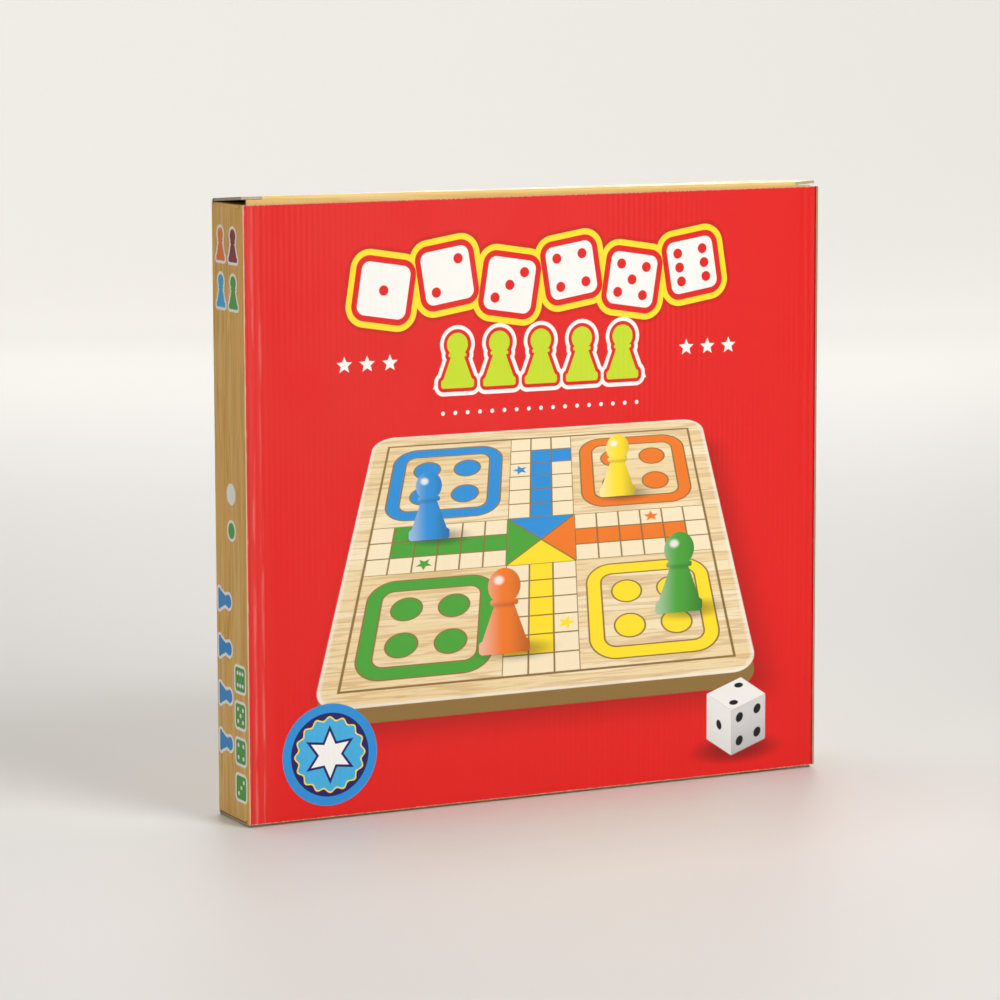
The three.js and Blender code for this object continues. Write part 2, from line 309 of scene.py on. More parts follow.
@dataclass(frozen=True)
class Spot:
    """A place on a printed face, as two values in millimetres."""

    x: Value
    y: Value

    def moved(self, x: float, y: float) -> "Spot":
        """The place seen from another middle."""
        return Spot(self.x - x, self.y - y)

    def turned(self, degrees: float) -> "Spot":
        """The place seen from axes turned anticlockwise."""
        cosine, sine = math.cos(math.radians(degrees)), math.sin(math.radians(degrees))
        return Spot(self.x * cosine + self.y * sine, self.y * cosine - self.x * sine)

    def folded(self) -> "Spot":
        """The place mirrored into the quarter where both are positive."""
        return Spot(abs(self.x), abs(self.y))

    def reach(self) -> Value:
        """Distance from the middle."""
        return (self.x * self.x + self.y * self.y).root()

    def bearing(self) -> Value:
        """Angle from straight up."""
        return self.x.paint.math("ARCTAN2", self.x, self.y)

    def disc(self, radius: float) -> Value:
        """Distance from a disc's edge."""
        return self.reach() - radius

    def oval(self, half_x: float, half_y: float) -> Value:
        """Share of the way from the middle to an oval's edge, less 1."""
        return Spot(self.x / half_x, self.y / half_y).disc(1.0)

    def plate(self, half_x: float, half_y: float, corner: float) -> Value:
        """Measures from a rectangle with round corners.

        Args:
            half_x: half of its width.
            half_y: half of its height.
            corner: radius of its corners.

        Returns:
            Distance from its edge.
        """
        over = Spot(abs(self.x) - (half_x - corner), abs(self.y) - (half_y - corner))
        outside = Spot(over.x.most(0.0), over.y.most(0.0)).reach()
        return outside + over.x.most(over.y).least(0.0) - corner

    def row(self, pitch: float, count: int) -> tuple["Spot", Value]:
        """The place within the nearest of a row of copies along x.

        Args:
            pitch: from one copy to the next.
            count: how many copies, with the row's middle at 0.

        Returns:
            The place seen from the nearest copy's middle, and that copy's number from 0.
        """
        start = self.x + pitch * (count - 1) / 2
        number = (start / pitch).nearest().most(0.0).least(float(count - 1))
        return Spot(start - number * pitch, self.y), number


# Motifs, as distances or masks on a printed face


def pawn_shape(at: Spot, height: float) -> Value:
    """Measures from a plain pawn that stands on y = 0.

    Args:
        at: the place, seen from the middle of the pawn's foot.
        height: of the pawn, of which its other sizes are shares.

    Returns:
        Distance from its outline.
    """
    slope = math.radians(21)
    head = at.moved(0, 0.79 * height).disc(0.21 * height)
    lean = abs(at.x) * math.cos(slope) + at.y * math.sin(slope) - 0.325 * height
    body = lean.most(at.y - 0.64 * height).most(0.14 * height - at.y)
    base = at.moved(0, 0.08 * height).plate(0.33 * height, 0.08 * height, 0.05 * height)
    collar = at.moved(0, 0.6 * height).plate(0.18 * height, 0.035 * height, 0.03 * height)
    return head.least(body).least(base).least(collar)


def star_shape(at: Spot, radius: float, points: int = 5, waist: float = 0.45) -> Value:
    """Measures from a star.

    Args:
        at: the place, seen from the star's middle.
        radius: reach of its points.
        points: how many.
        waist: reach of the notches, over that of the points.

    Returns:
        Distance from its edge.
    """
    wedge = 2 * math.pi / points
    off = abs((at.bearing() + wedge / 2) % wedge - wedge / 2)
    reach = at.reach()
    along = reach * off.cosine() - radius
    across = reach * off.sine()
    rise = radius - waist * radius * math.cos(wedge / 2)
    run = waist * radius * math.sin(wedge / 2)
    length = math.hypot(rise, run)
    return along * (run / length) + across * (rise / length)


def pip_mask(at: Spot, spacing: float, radius: float, count: Number, soft: float = 0.2) -> Value:
    """Draws the pips on a die's face.

    Args:
        at: the place, seen from the face's middle.
        spacing: from the middle to a row of pips.
        radius: of a pip.
        count: how many pips, from 1 to 6, as a number or a value.
        soft: width of the fading edge.

    Returns:
        Their mask.
    """
    far = at.folded()
    corners = far.moved(spacing, spacing).disc(radius).inside(soft)
    sides = far.moved(spacing, 0).disc(radius).inside(soft)
    middle = at.disc(radius).inside(soft)
    pair = corners * (at.x * at.y > 0.0)
    if isinstance(count, Value):
        masks = [corners * (count > 3.5), pair * (count > 1.5)]
        masks += [sides * (count > 5.5), middle * (count % 2.0)]
    else:
        chosen = [(middle, count % 2), (pair, count in (2, 3)), (corners, count > 3), (sides, count > 5)]
        masks = [mask for mask, wanted in chosen if wanted]
    return reduce(Value.most, masks)


class LudoTrack:
    """The traditional cross-shaped track, with sizes in its squares."""

    SQUARES = 15
    LINE = 0.035
    LINE_SOFT = 0.03
    ARM = 1.5                     # half width of an arm, and of the middle
    YARD = 4.5                    # from the middle of the track to that of a yard
    YARD_FRAME = 2.3              # half width of a yard's coloured frame
    YARD_CORNER = 0.8
    YARD_BAND = 0.3
    YARD_SOFT = 0.05
    PLACE_STEP = 0.95             # from the middle of a yard to its places for pawns
    PLACE = 0.62
    STAR = 0.36
    STAR_SOFT = 0.04
    STAR_AT = 5.0                 # from the middle of the track to a starred square
    START_AT = 6.0                # and to a start square
    HOME_END = 6.5                # and to the end of a home row
    SLANT = 0.7                   # distance from a diagonal, over the gap between the two coordinates
    YARDS = (Inks.GREEN, Inks.YELLOW, Inks.ORANGE, Inks.BLUE)

    def lay(self, ground: Value, at: Spot) -> Value:
        """Draws the track over a ground.

        Args:
            ground: the colour under it.
            at: the place, in squares from the middle.

        Returns:
            The colour.
        """
        mix = ground.paint.mix
        south_west, south_east, north_east, north_west = self.YARDS
        right, up = at.x > 0.0, at.y > 0.0
        far = at.folded()
        level = far.x > far.y
        yard = mix(mix(south_west, south_east, right), mix(north_west, north_east, right), up)
        arm = mix(mix(south_east, north_west, up), mix(south_west, north_east, right), level)
        longer, shorter = far.x.most(far.y), far.x.least(far.y)
        # Squares of the arms, with each arm's home row, its start square and the middle
        sign = right * 2.0 - 1.0
        turn = up * 2.0 - 1.0
        beside = level * (sign * at.y) - (1.0 - level) * (turn * at.x)
        home = (shorter < 0.5) * (longer < self.HOME_END)
        start = (abs(beside + 1.0) < 0.5) * (abs(longer - self.START_AT) < 0.5)
        middle = longer < self.ARM
        track = mix(Inks.CREAM, arm, home.most(start).most(middle))
        grid = abs((at.x % 1.0) - 0.5).least(abs((at.y % 1.0) - 0.5))
        slant = abs(far.x - far.y) * self.SLANT
        lines = (grid - self.LINE).inside(self.LINE_SOFT) * (1.0 - middle)
        lines = lines.most((slant - self.LINE).inside(self.LINE_SOFT) * middle)
        star = star_shape(Spot(longer - self.STAR_AT, beside - 1.0), self.STAR)
        track = track.inked(arm, star.inside(self.STAR_SOFT)).inked(Inks.WOOD_EDGE, lines)
        # Yards of bare wood, each with a coloured frame and four places for pawns
        inner = far.moved(self.YARD, self.YARD)
        band = abs(inner.plate(self.YARD_FRAME, self.YARD_FRAME, self.YARD_CORNER)) - self.YARD_BAND
        places = inner.folded().moved(self.PLACE_STEP, self.PLACE_STEP).disc(self.PLACE)
        rings = abs(places.least(band)) - self.LINE
        corner = ground.inked(yard, band.least(places).inside(self.YARD_SOFT))
        corner = corner.inked(Inks.WOOD_EDGE, rings.inside(self.LINE_SOFT))
        half = self.SQUARES / 2
        edge = abs(longer - half) - 1.5 * self.LINE
        drawn = ground.inked(corner.inked(track, shorter < self.ARM), longer < half)
        return drawn.inked(Inks.WOOD_EDGE, edge.inside(self.LINE_SOFT))


# Finishes


class Grain(Enum):
    """Which way a wood print or a wood runs, as patch sizes along X, Y and Z over those across."""

    UPRIGHT = (1.0, 1.0, 22.0)
    LEVEL = (22.0, 1.0, 1.0)
    DEEP = (1.0, 22.0, 1.0)


def wood_tone(paint: Paint, grain: Grain, tones: Sequence[Inks]) -> tuple[Value, Value]:
    """Streaked wood, printed or real.

    Args:
        paint: the material.
        grain: which way it runs.
        tones: its middle, pale and dark tones.

    Returns:
        The colour, and the streaks from 0 to 1.
    """
    def streaks(width: float, detail: float, seed: float = 0.0) -> Value:
        """Noise drawn out along the grain."""
        return paint.noise([width * share for share in grain.value], detail, seed)

    middle, pale, dark = tones
    broad = streaks(9.0, 3.0)
    rings = (broad * 46.0 + streaks(2.2, 2.0, 7.0) * 5.0).sine()
    fine = streaks(0.7, 2.0, 3.0)
    colour = paint.mix(middle, pale, broad.ramp(0.38, 0.7))
    colour = colour.inked(dark, rings.ramp(0.1, 1.0) * 0.42).inked(dark, fine.ramp(0.52, 0.78) * 0.5)
    return colour, fine


@dataclass(frozen=True)
class PrintFinish:
    """What the printed faces share: gloss, flute relief and wear at the folds."""

    gloss: float = 0.36
    flute_pitch: float = 3.2
    relief: float = 0.06
    sheen: float = 0.22
    score_inset: float = 4.6      # pressed lines beside the upright folds
    score_pitch: float = 4.4
    score_depth: float = 2.2

    def rubbed(self, colour: Value, edge: Value, width: float) -> Value:
        """Wears the ink off beside an edge.

        Args:
            colour: the print.
            edge: distance from the edge.
            width: reach of the wear.

        Returns:
            The worn colour.
        """
        grit = colour.paint.noise((1.2, 1.2, 7.0), 4.0, 11.0)
        worn = (edge / width + grit * 1.6).ramp(1.25, 0.55)
        return colour.inked(Inks.PAPER, worn * 0.75)

    def varnish(self, colour: Value, relief: Value) -> Material:
        """Lays thin, slightly uneven varnish over a print.

        Args:
            colour: the print.
            relief: of the card under it.

        Returns:
            The material.
        """
        rub = colour.paint.noise((30.0, 30.0, 45.0), 4.0, 29.0).ramp(0.4, 0.8)
        others = {"Specular IOR Level": self.sheen}
        return colour.paint.dress(colour, self.gloss + rub * 0.12, relief, self.relief, others)

    def ribs(self, across: Value) -> Value:
        """Raises the faint washboard of the flutes under the paper.

        Args:
            across: distance across the flutes.

        Returns:
            The relief.
        """
        noise = across.paint.noise
        wave = (across * (2 * math.pi / self.flute_pitch)).sine()
        patch = noise((60.0, 60.0, 90.0), 1.0, 5.0).ramp(0.3, 0.7)
        return wave * patch * 0.5 + noise((14.0, 14.0, 40.0), 2.0, 9.0)


@dataclass(frozen=True)
class WoodPrint(PrintFinish):
    """Yellow wood print on the side and back panels and the flaps."""

    name: str = "wood_print"
    grain: Grain = Grain.UPRIGHT
    tones: tuple[Inks, ...] = (Inks.WOOD, Inks.WOOD_PALE, Inks.WOOD_DARK)

    def material(self) -> Material:
        """Makes the plain wood print.

        Returns:
            The material.
        """
        paint = Paint(self.name)
        x, y, _ = paint.place
        colour, _ = wood_tone(paint, self.grain, self.tones)
        return self.varnish(colour, self.ribs(x + y))


@dataclass(frozen=True)
class SpinePrint(WoodPrint):
    """Wood print with a column of outlined game pieces, for the left side panel."""

    name: str = "spine_print"
    depth: float = 41.0           # of the panel, from the back fold to the front one
    outline: float = 1.5
    pawn_height: float = 17.0
    pawns: tuple[tuple[float, float, Inks], ...] = (  # place of each foot, and its ink
        (12.0, 268.0, Inks.SKY), (12.0, 292.0, Inks.ORANGE),
        (28.0, 268.0, Inks.GREEN), (28.0, 292.0, Inks.DEEP_RED))
    discs: tuple[tuple[float, Inks], ...] = ((172.0, Inks.WHITE), (153.0, Inks.GREEN))  # height and ink
    discs_across: float = 22.0
    disc_radius: float = 4.2
    column: int = 4               # lying pawns in a column, and tiles in another
    lying_at: Point = (78.0, 3.5)  # middle of the column: how high, and how far across the feet are
    lying_pitch: float = 25.0
    tiles_at: Point = (48.0, 31.0)
    tile_pitch: float = 19.0
    tile_half: float = 6.2
    tile_corner: float = 1.8
    pip_step: float = 3.2
    pip_radius: float = 1.15
    first_tile: float = 3.0       # pips on the lowest tile
    wear: float = 0.9

    def outlined(self, colour: Value, shape: Value, fill: Inks) -> Value:
        """Draws a filled shape with a white outline over a colour."""
        return colour.layered(shape, (Inks.WHITE, self.outline), (fill, 0.0))

    def material(self) -> Material:
        """Makes the wood print and draws the column of pieces on it.

        Returns:
            The material.
        """
        paint = Paint(self.name)
        _, y, z = paint.place
        colour, _ = wood_tone(paint, self.grain, self.tones)
        at = Spot(self.depth / 2 - y, z)
        for across, foot, fill in self.pawns:
            colour = self.outlined(colour, pawn_shape(at.moved(across, foot), self.pawn_height), fill)
        for height, fill in self.discs:
            colour = self.outlined(colour, at.moved(self.discs_across, height).disc(self.disc_radius), fill)
        upright = Spot(at.y, at.x)
        piece, _ = upright.moved(*self.lying_at).row(self.lying_pitch, self.column)
        colour = self.outlined(colour, pawn_shape(piece, self.pawn_height), Inks.BLUE)
        tile, number = upright.moved(*self.tiles_at).row(self.tile_pitch, self.column)
        plate = tile.plate(self.tile_half, self.tile_half, self.tile_corner)
        colour = self.outlined(colour, plate, Inks.GREEN)
        pips = pip_mask(tile, self.pip_step, self.pip_radius, number + self.first_tile)
        colour = colour.inked(Inks.WHITE, pips)
        return self.varnish(self.rubbed(colour, self.depth - at.x, self.wear), self.ribs(y))


@dataclass(frozen=True)
class FrontPrint(PrintFinish):
    """Red front panel with a ludo picture, rows of dice and pawns, a rosette and stars."""

    name: str = "front_print"
    half_width: float = 170.0
    height: float = 320.0
    foot: float = 1.65            # height of the panel's lower edge
    title_height: float = 277.0   # middle of the row of dice
    title_count: int = 6
    title_pitch: float = 36.5
    title_swing: float = 3.2      # every second die stands this far up, and the others down
    title_tilt: float = 9.0       # and is turned by this many degrees, and the others back
    title_half: float = 14.0      # half width of a die
    title_corner: float = 4.5
    pip_step: float = 7.6
    pip_radius: float = 2.7
    pawns_foot: float = 221.0
    pawns_count: int = 5
    pawns_pitch: float = 24.5
    pawns_height: float = 29.0
    stars_at: Point = (101.0, 236.0)
    stars_count: int = 3          # on each side
    stars_pitch: float = 13.0
    star_radius: float = 4.6
    dots_height: float = 208.0
    dots_count: int = 17
    dots_pitch: float = 7.2
    dot_radius: float = 1.1
    rosette_at: Point = (-124.0, 33.0)
    rosette_radius: float = 27.0
    die_at: Point = (117.0, 10.0)
    die_edge: float = 25.0
    die_top: int = 2              # pips on the pictured die's top face
    board_front: float = 56.0     # height of the pictured board's near edge
    board_back: float = 197.0
    near_half: float = 134.0      # half width of its near and far edges
    far_half: float = 97.0
    rim: float = 0.8              # wooden margin round the track, in squares
    corner: float = 1.0           # of the pictured board, in squares
    thickness: float = 8.5        # of the pictured board's near edge
    board_pawns: tuple[tuple[float, float, float, Inks], ...] = (  # place, height and ink of each
        (-66.0, 142.0, 36.0, Inks.BLUE), (46.0, 158.0, 33.0, Inks.YELLOW),
        (84.0, 92.0, 44.0, Inks.GREEN), (-22.0, 78.0, 46.0, Inks.ORANGE))
    wear: float = 2.2

    def material(self) -> Material:
        """Makes the red ground, draws all its motifs, paints sheen and highlight beside the left fold and
        shade along each fold, and wears it.

        Returns:
            The material.
        """
        paint = Paint(self.name)
        x, _, z = paint.place
        at = Spot(x, z - self.foot)
        tint = paint.noise((120.0, 120.0, 160.0)).ramp(0.55, 1.1)
        colour = paint.mix(Inks.RED, Inks.DEEP_RED, tint * 0.35)
        colour = self.board_picture(colour, at)
        colour = self.title_row(colour, at.moved(0.0, self.title_height))
        colour = self.pawn_row(colour, at.moved(0.0, self.pawns_foot))
        across, up = self.stars_at
        for side in (-1, 1):
            star, _ = at.moved(side * across, up).row(self.stars_pitch, self.stars_count)
            colour = colour.inked(Inks.WHITE, star_shape(star, self.star_radius).inside())
        dot, _ = at.moved(0.0, self.dots_height).row(self.dots_pitch, self.dots_count)
        colour = colour.inked(Inks.WHITE, dot.disc(self.dot_radius).inside())
        colour = self.rosette(colour, at.moved(*self.rosette_at), self.rosette_radius)
        colour = self.die_picture(colour, at.moved(*self.die_at), self.die_edge, self.die_top)
        # Pressed lines beside the left fold, painted pale as scuffed ink and partly as painted highlight, a
        # broad painted sheen there, a painted-shade line along each upright fold, and wear at the folds and
        # the ends
        fold = self.half_width - abs(at.x)
        scores = abs(abs(fold - self.score_inset - self.score_pitch / 2) - self.score_pitch / 2)
        line_breaks = paint.noise((2.0, 2.0, 30.0), 3.0, 17.0).ramp(0.42, 0.7)
        # pale marks: scuffs and painted highlight on the pressed lines, and a broad painted sheen near the
        # fold
        scuffs_and_sheen = (scores - 0.4).inside(1.6) * line_breaks * 0.2 + fold.ramp(18.0, 3.0) * 0.02
        # painted shade: a darker line where each upright fold starts to bend
        colour = colour.inked(Inks.DEEP_RED, (abs(fold - 2.0) - 0.3).inside(0.6) * 0.4)
        colour = colour.inked(Inks.CREAM, (fold - 0.8).inside(0.3) * 0.7)
        # the pale marks are painted on the left side only, where the light falls
        colour = colour.inked(Inks.PAPER, scuffs_and_sheen * (at.x < 0.0))
        ends = at.y.least(self.height - at.y) * 2.5
        colour = self.rubbed(colour, fold.least(ends), self.wear)
        ridge = (scores / self.score_pitch * 2.0).least(1.0) * self.score_depth
        return self.varnish(colour, self.ribs(x) + ridge)

    def board_picture(self, colour: Value, at: Spot) -> Value:
        """Draws a wooden ludo board lying in perspective, with pawns on it.

        Args:
            colour: the ground.
            at: the place on the panel.

        Returns:
            The colour.
        """
        half = LudoTrack.SQUARES / 2 + self.rim

        def on_board(spot: Spot) -> Spot:
            """Lays a place on the panel onto the pictured board.

            Args:
                spot: the place on the panel.

            Returns:
                The place in squares of the board, from its middle.
            """
            rise = (spot.y - self.board_front) / (self.board_back - self.board_front)
            width = rise * (self.far_half - self.near_half) + self.near_half
            depth = (self.near_half / width - 1.0) * (2 * half / (self.near_half / self.far_half - 1.0))
            return Spot(spot.x / width * half, depth - half)

        shadow, side, face = (on_board(spot) for spot in (at.moved(6.0, -self.thickness - 4.0),
                                                          at.moved(0.0, -self.thickness), at))
        shade = shadow.plate(half, half, self.corner).ramp(1.3, -1.3)
        colour = colour.inked(Inks.DEEP_RED, shade * 0.85)
        colour = colour.inked(Inks.WOOD_EDGE, side.plate(half, half, self.corner).inside(0.04))
        wood, _ = wood_tone(colour.paint, Grain.LEVEL, BEECH_TONES)
        top = face.plate(half, half, self.corner)
        wood = wood.inked(Inks.WHITE, top.ramp(-0.22, -0.05) * 0.55)
        colour = colour.inked(LudoTrack().lay(wood, face), top.inside(0.04))
        for across, up, height, fill in self.board_pawns:
            colour = self.pawn_picture(colour, at.moved(across, up), height, fill)
        return colour

    def pawn_picture(self, colour: Value, at: Spot, height: float, fill: Inks) -> Value:
        """Draws one shaded pawn with its shadow.

        Args:
            colour: the ground.
            at: the place, seen from the pawn's foot.
            height: of the pawn, of which its other sizes are shares.
            fill: its colour.

        Returns:
            The colour.
        """
        shadow = at.moved(0.16 * height, 0.03 * height).oval(0.5 * height, 0.13 * height)
        colour = colour.inked(Inks.BLACK, shadow.ramp(0.3, -0.7) * 0.55)
        lit = colour.paint.mix(fill, Inks.WHITE, at.x.ramp(0.0, -0.34 * height) * 0.35)
        lit = lit.inked(Inks.BLACK, at.x.ramp(-0.02 * height, 0.4 * height) * 0.5)
        under = abs(at.y - 0.57 * height) - 0.02 * height
        lit = lit.inked(Inks.BLACK, under.inside(0.05 * height) * 0.35)
        shine = at.moved(-0.07 * height, 0.86 * height).oval(0.075 * height, 0.06 * height)
        lit = lit.inked(Inks.WHITE, shine.ramp(0.2, -0.6) * 0.85)
        return colour.inked(lit, pawn_shape(at, height).inside())

    def title_row(self, colour: Value, at: Spot) -> Value:
        """Draws tilted white dice with red pips inside a yellow outline.

        Args:
            colour: the ground.
            at: the place, seen from the row's middle.

        Returns:
            The colour.
        """
        shapes, pips = [], []
        for side in (-1, 1):
            near = at.moved(side * self.title_pitch / 2, side * self.title_swing)
            copy, number = near.row(2 * self.title_pitch, self.title_count // 2)
            tilted = copy.turned(side * self.title_tilt)
            shapes.append(tilted.plate(self.title_half, self.title_half, self.title_corner))
            count = number * 2.0 + (1.5 + side / 2)
            pips.append(pip_mask(tilted, self.pip_step, self.pip_radius, count))
        shape = shapes[0].least(shapes[1])
        colour = colour.inked(Inks.DEEP_RED, shape.ramp(9.5, 5.0) * 0.6)
        colour = colour.layered(shape, (Inks.YELLOW, 6.4), (Inks.RED, 3.2), (Inks.WHITE, 0.0))
        return colour.inked(Inks.RED, pips[0].most(pips[1]))

    def pawn_row(self, colour: Value, at: Spot) -> Value:
        """Draws lime pawns inside a white outline.

        Args:
            colour: the ground.
            at: the place, seen from the middle of the row's foot.

        Returns:
            The colour.
        """
        piece, _ = at.row(self.pawns_pitch, self.pawns_count)
        shape = pawn_shape(piece, self.pawns_height)
        return colour.layered(shape, (Inks.WHITE, 4.0), (Inks.RED, 1.9), (Inks.LIME, 0.0))

    def rosette(self, colour: Value, at: Spot, radius: float) -> Value:
        """Draws a blue rosette with a scalloped middle and a star.

        Args:
            colour: the ground.
            at: the place, seen from the rosette's middle.
            radius: of the rosette.

        Returns:
            The colour.
        """
        reach = at.reach()
        scallop = reach - (at.bearing() * 16.0).cosine() * (0.035 * radius)
        star = star_shape(at, 0.46 * radius, 6, 0.5)
        colour = colour.layered(reach, (Inks.BLUE, radius), (Inks.NAVY, 0.82 * radius))
        colour = colour.layered(scallop, (Inks.YELLOW, 0.72 * radius), (Inks.SKY, 0.69 * radius))
        return colour.layered(star, (Inks.NAVY, 1.3), (Inks.WHITE, 0.0))

    def die_picture(self, colour: Value, at: Spot, edge: float, top: int) -> Value:
        """Draws a shaded white die seen from above one corner, with its shadow.

        Args:
            colour: the ground.
            at: the place, seen from the die's lowest corner.
            edge: length of an upright edge, of which its other sizes are shares.
            top: pips on the top face.

        Returns:
            The colour.
        """
        right, left, up = (0.86 * edge, 0.3 * edge), (-0.62 * edge, 0.42 * edge), (0.0, edge)
        shadow = at.moved(0.12 * edge, 0.14 * edge).oval(1.05 * edge, 0.3 * edge)
        colour = colour.inked(Inks.DEEP_RED, shadow.ramp(0.3, -0.6) * 0.9)
        foot = (0.0, 0.0)
        faces = ((foot, right, up, 4, 0.42), (foot, left, up, 1, 0.12), (up, right, left, top, 0.0))
        middle = [sum(way[i] for way in (right, left, up)) / 2 for i in (0, 1)]
        rounding = at.moved(*middle).oval(0.93 * edge, 1.0 * edge).inside(0.02)
        for start, run, rise, pips, shade in faces:
            flat = self.on_face(at.moved(*start), run, rise)
            face = colour.paint.mix(Inks.WHITE, Inks.GREY, shade + 0.1)
            face = face.inked(Inks.GREY, flat.y.ramp(0.4, -0.6) * shade * 1.5)
            face = face.inked(Inks.BLACK, pip_mask(flat, 0.26, 0.105, pips, 0.02))
            colour = colour.inked(face, flat.plate(0.5, 0.5, 0.02).inside(0.02) * rounding)
        return colour

    @staticmethod
    def on_face(at: Spot, run: Point, rise: Point) -> Spot:
        """Measures a place along a slanted face's two edges.

        Args:
            at: the place, seen from the corner where they start.
            run: one edge.
            rise: the other.

        Returns:
            The place in shares of the two, from the face's middle.
        """
        size = run[0] * rise[1] - run[1] * rise[0]
        along = at.x * (rise[1] / size) - at.y * (rise[0] / size)
        up = at.y * (run[0] / size) - at.x * (run[1] / size)
        return Spot(along - 0.5, up - 0.5)


@dataclass(frozen=True)
class PaperFinish:
    """Unprinted paper or board, with fibres and specks."""

    name: str
    tone: Inks
    shade: Inks
    roughness: float = 0.85
    relief: float = 0.05

    def material(self) -> Material:
        """Makes the paper.

        Returns:
            The material.
        """
        paint = Paint(self.name)
        cloud = paint.noise((16.0, 16.0, 16.0), 3.0).ramp(0.35, 0.8)
        fibre = paint.noise((0.5, 1.4, 4.0), 4.0, 5.0)
        speck = paint.noise((0.9, 0.9, 0.9), 1.0, 23.0).ramp(0.72, 0.78)
        colour = paint.mix(self.tone, self.shade, cloud * 0.5)
        colour = colour.inked(self.shade, fibre.ramp(0.5, 0.75) * 0.6).inked(Inks.WOOD_EDGE, speck * 0.5)
        return paint.dress(colour, self.roughness, fibre, self.relief)


@dataclass(frozen=True)
class BoardFinish:
    """Pale lacquered wood, with the ludo track on one face and a hundred squares on the other."""

    name: str = "printed_board"
    print_size: float = 276.0
    back_squares: int = 10        # along each side of the back's print
    back_line: float = 0.02       # half width of its lines, in its squares
    gloss: float = 0.4
    relief: float = 0.04

    def material(self, middle: Vector) -> Material:
        """Makes the wood with both its prints.

        Args:
            middle: the board's middle, in millimetres.

        Returns:
            The material.
        """
        paint = Paint(self.name)
        x, _, z = paint.place
        wood, streaks = wood_tone(paint, Grain.LEVEL, BEECH_TONES)
        at = Spot(x - middle.x, z - middle.z)
        square = self.print_size / LudoTrack.SQUARES
        front = LudoTrack().lay(wood, Spot(at.x / square, at.y / square))
        step = self.print_size / self.back_squares
        cell = Spot(at.x / step, at.y / step)
        dark = ((cell.x - cell.x % 1.0) + (cell.y - cell.y % 1.0)) % 2.0
        far = cell.folded()
        within = far.x.most(far.y) < self.back_squares / 2
        line = abs((cell.x + 0.5) % 1.0 - 0.5).least(abs((cell.y + 0.5) % 1.0 - 0.5)) - self.back_line
        back = wood.inked(Inks.WOOD_DARK, dark * within * 0.6)
        back = back.inked(Inks.WOOD_EDGE, line.inside(0.02) * within * 0.8)
        normal = paint.node("ShaderNodeNewGeometry", {}, {}, output="Normal")
        faced = paint.node("ShaderNodeSeparateXYZ", {}, {0: normal}, output="Y")
        colour = wood.inked(front, faced < -FACING).inked(back, faced > FACING)
        return paint.dress(colour, self.gloss, streaks, self.relief)


@dataclass(frozen=True)
class PlasticFinish:
    """Glossy moulded plastic with a trace of flow and handling marks."""

    name: str
    tone: Inks
    roughness: float = 0.22
    relief: float = 0.01
    coat: float = 0.3

    def material(self) -> Material:
        """Makes the plastic.

        Returns:
            The material.
        """
        paint = Paint(self.name)
        flow = paint.noise((3.0, 9.0, 3.0)).ramp(0.45, 0.9)
        rub = paint.noise((0.8, 0.8, 0.8), 3.0, 4.0)
        colour = paint.mix(self.tone, Inks.WHITE, flow * 0.12)
        rough = self.roughness + rub.ramp(0.5, 0.8) * 0.15
        return paint.dress(colour, rough, rub, self.relief, {"Coat Weight": self.coat})


# Meshes


def box_of(node: str) -> tuple[Vector, Vector]:
    """A node's lowest and highest corners at rest, in millimetres."""
    low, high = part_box(node)
    return low / MM, high / MM


def link_piece(name: str, shape: BMesh, place: Matrix, finishes: Sequence[Material]) -> Object:
    """Makes an object of a finished shape.

    Args:
        name: the piece's name.
        shape: its bmesh, which is freed.
        place: from the shape's own axes to the row frame's metres.
        finishes: its materials, in slot order.

    Returns:
        The object, at the origin, with its place in its mesh.
    """
    bmesh.ops.transform(shape, matrix=place, verts=shape.verts)
    mesh = bpy.data.meshes.new(name)
    shape.to_mesh(mesh)
    shape.free()
    for finish in finishes:
        mesh.materials.append(finish)
    mesh.polygons.foreach_set("use_smooth", [True] * len(mesh.polygons))
    mesh.set_sharp_from_angle(angle=CRISP)
    piece = bpy.data.objects.new(name, mesh)
    bpy.context.scene.collection.objects.link(piece)
    log.info("%s: %d faces", name, len(mesh.polygons))
    return piece


def stand_in(piece: Object, node: str) -> None:
    """Lets a piece stand for a node of the carton.

    Args:
        piece: the piece.
        node: the node that it replaces.
    """
    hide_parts(node)
    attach(piece, "carton")


def settle(piece: Object) -> Object:
    """Applies a piece's modifiers to its mesh.

    Args:
        piece: the piece.

    Returns:
        The same piece.
    """
    graph = bpy.context.evaluated_depsgraph_get()
    mesh = bpy.data.meshes.new_from_object(piece.evaluated_get(graph))
    mesh.name = piece.name
    mesh.set_sharp_from_angle(angle=CRISP)
    piece.modifiers.clear()
    piece.data = mesh
    return piece


def picked(parts: Sequence[Part], kind: type) -> list[Part]:
    """Those parts that are of one kind."""
    return [part for part in parts if isinstance(part, kind)]


def edges_along(shape: BMesh, axis: int) -> list[BMEdge]:
    """The edges of a block that run along one of its axes."""
    return [e for e in shape.edges if abs((e.verts[0].co - e.verts[1].co)[axis]) > SNAP]


def block(size: Vector) -> BMesh:
    """Starts a shape from a block round the origin.

    Args:
        size: of the block.

    Returns:
        Its bmesh.
    """
    shape = bmesh.new()
    bmesh.ops.create_cube(shape, size=1.0)
    bmesh.ops.scale(shape, vec=size, verts=shape.verts)
    return shape


def round_off(shape: BMesh, parts: Sequence[Part], radius: float, steps: int,
              affect: str = "EDGES") -> None:
    """Rounds edges, or the corners of a flat sheet."""
    bmesh.ops.bevel(shape, geom=parts, offset=radius, affect=affect, segments=steps, profile=0.5,
                    material=-1)


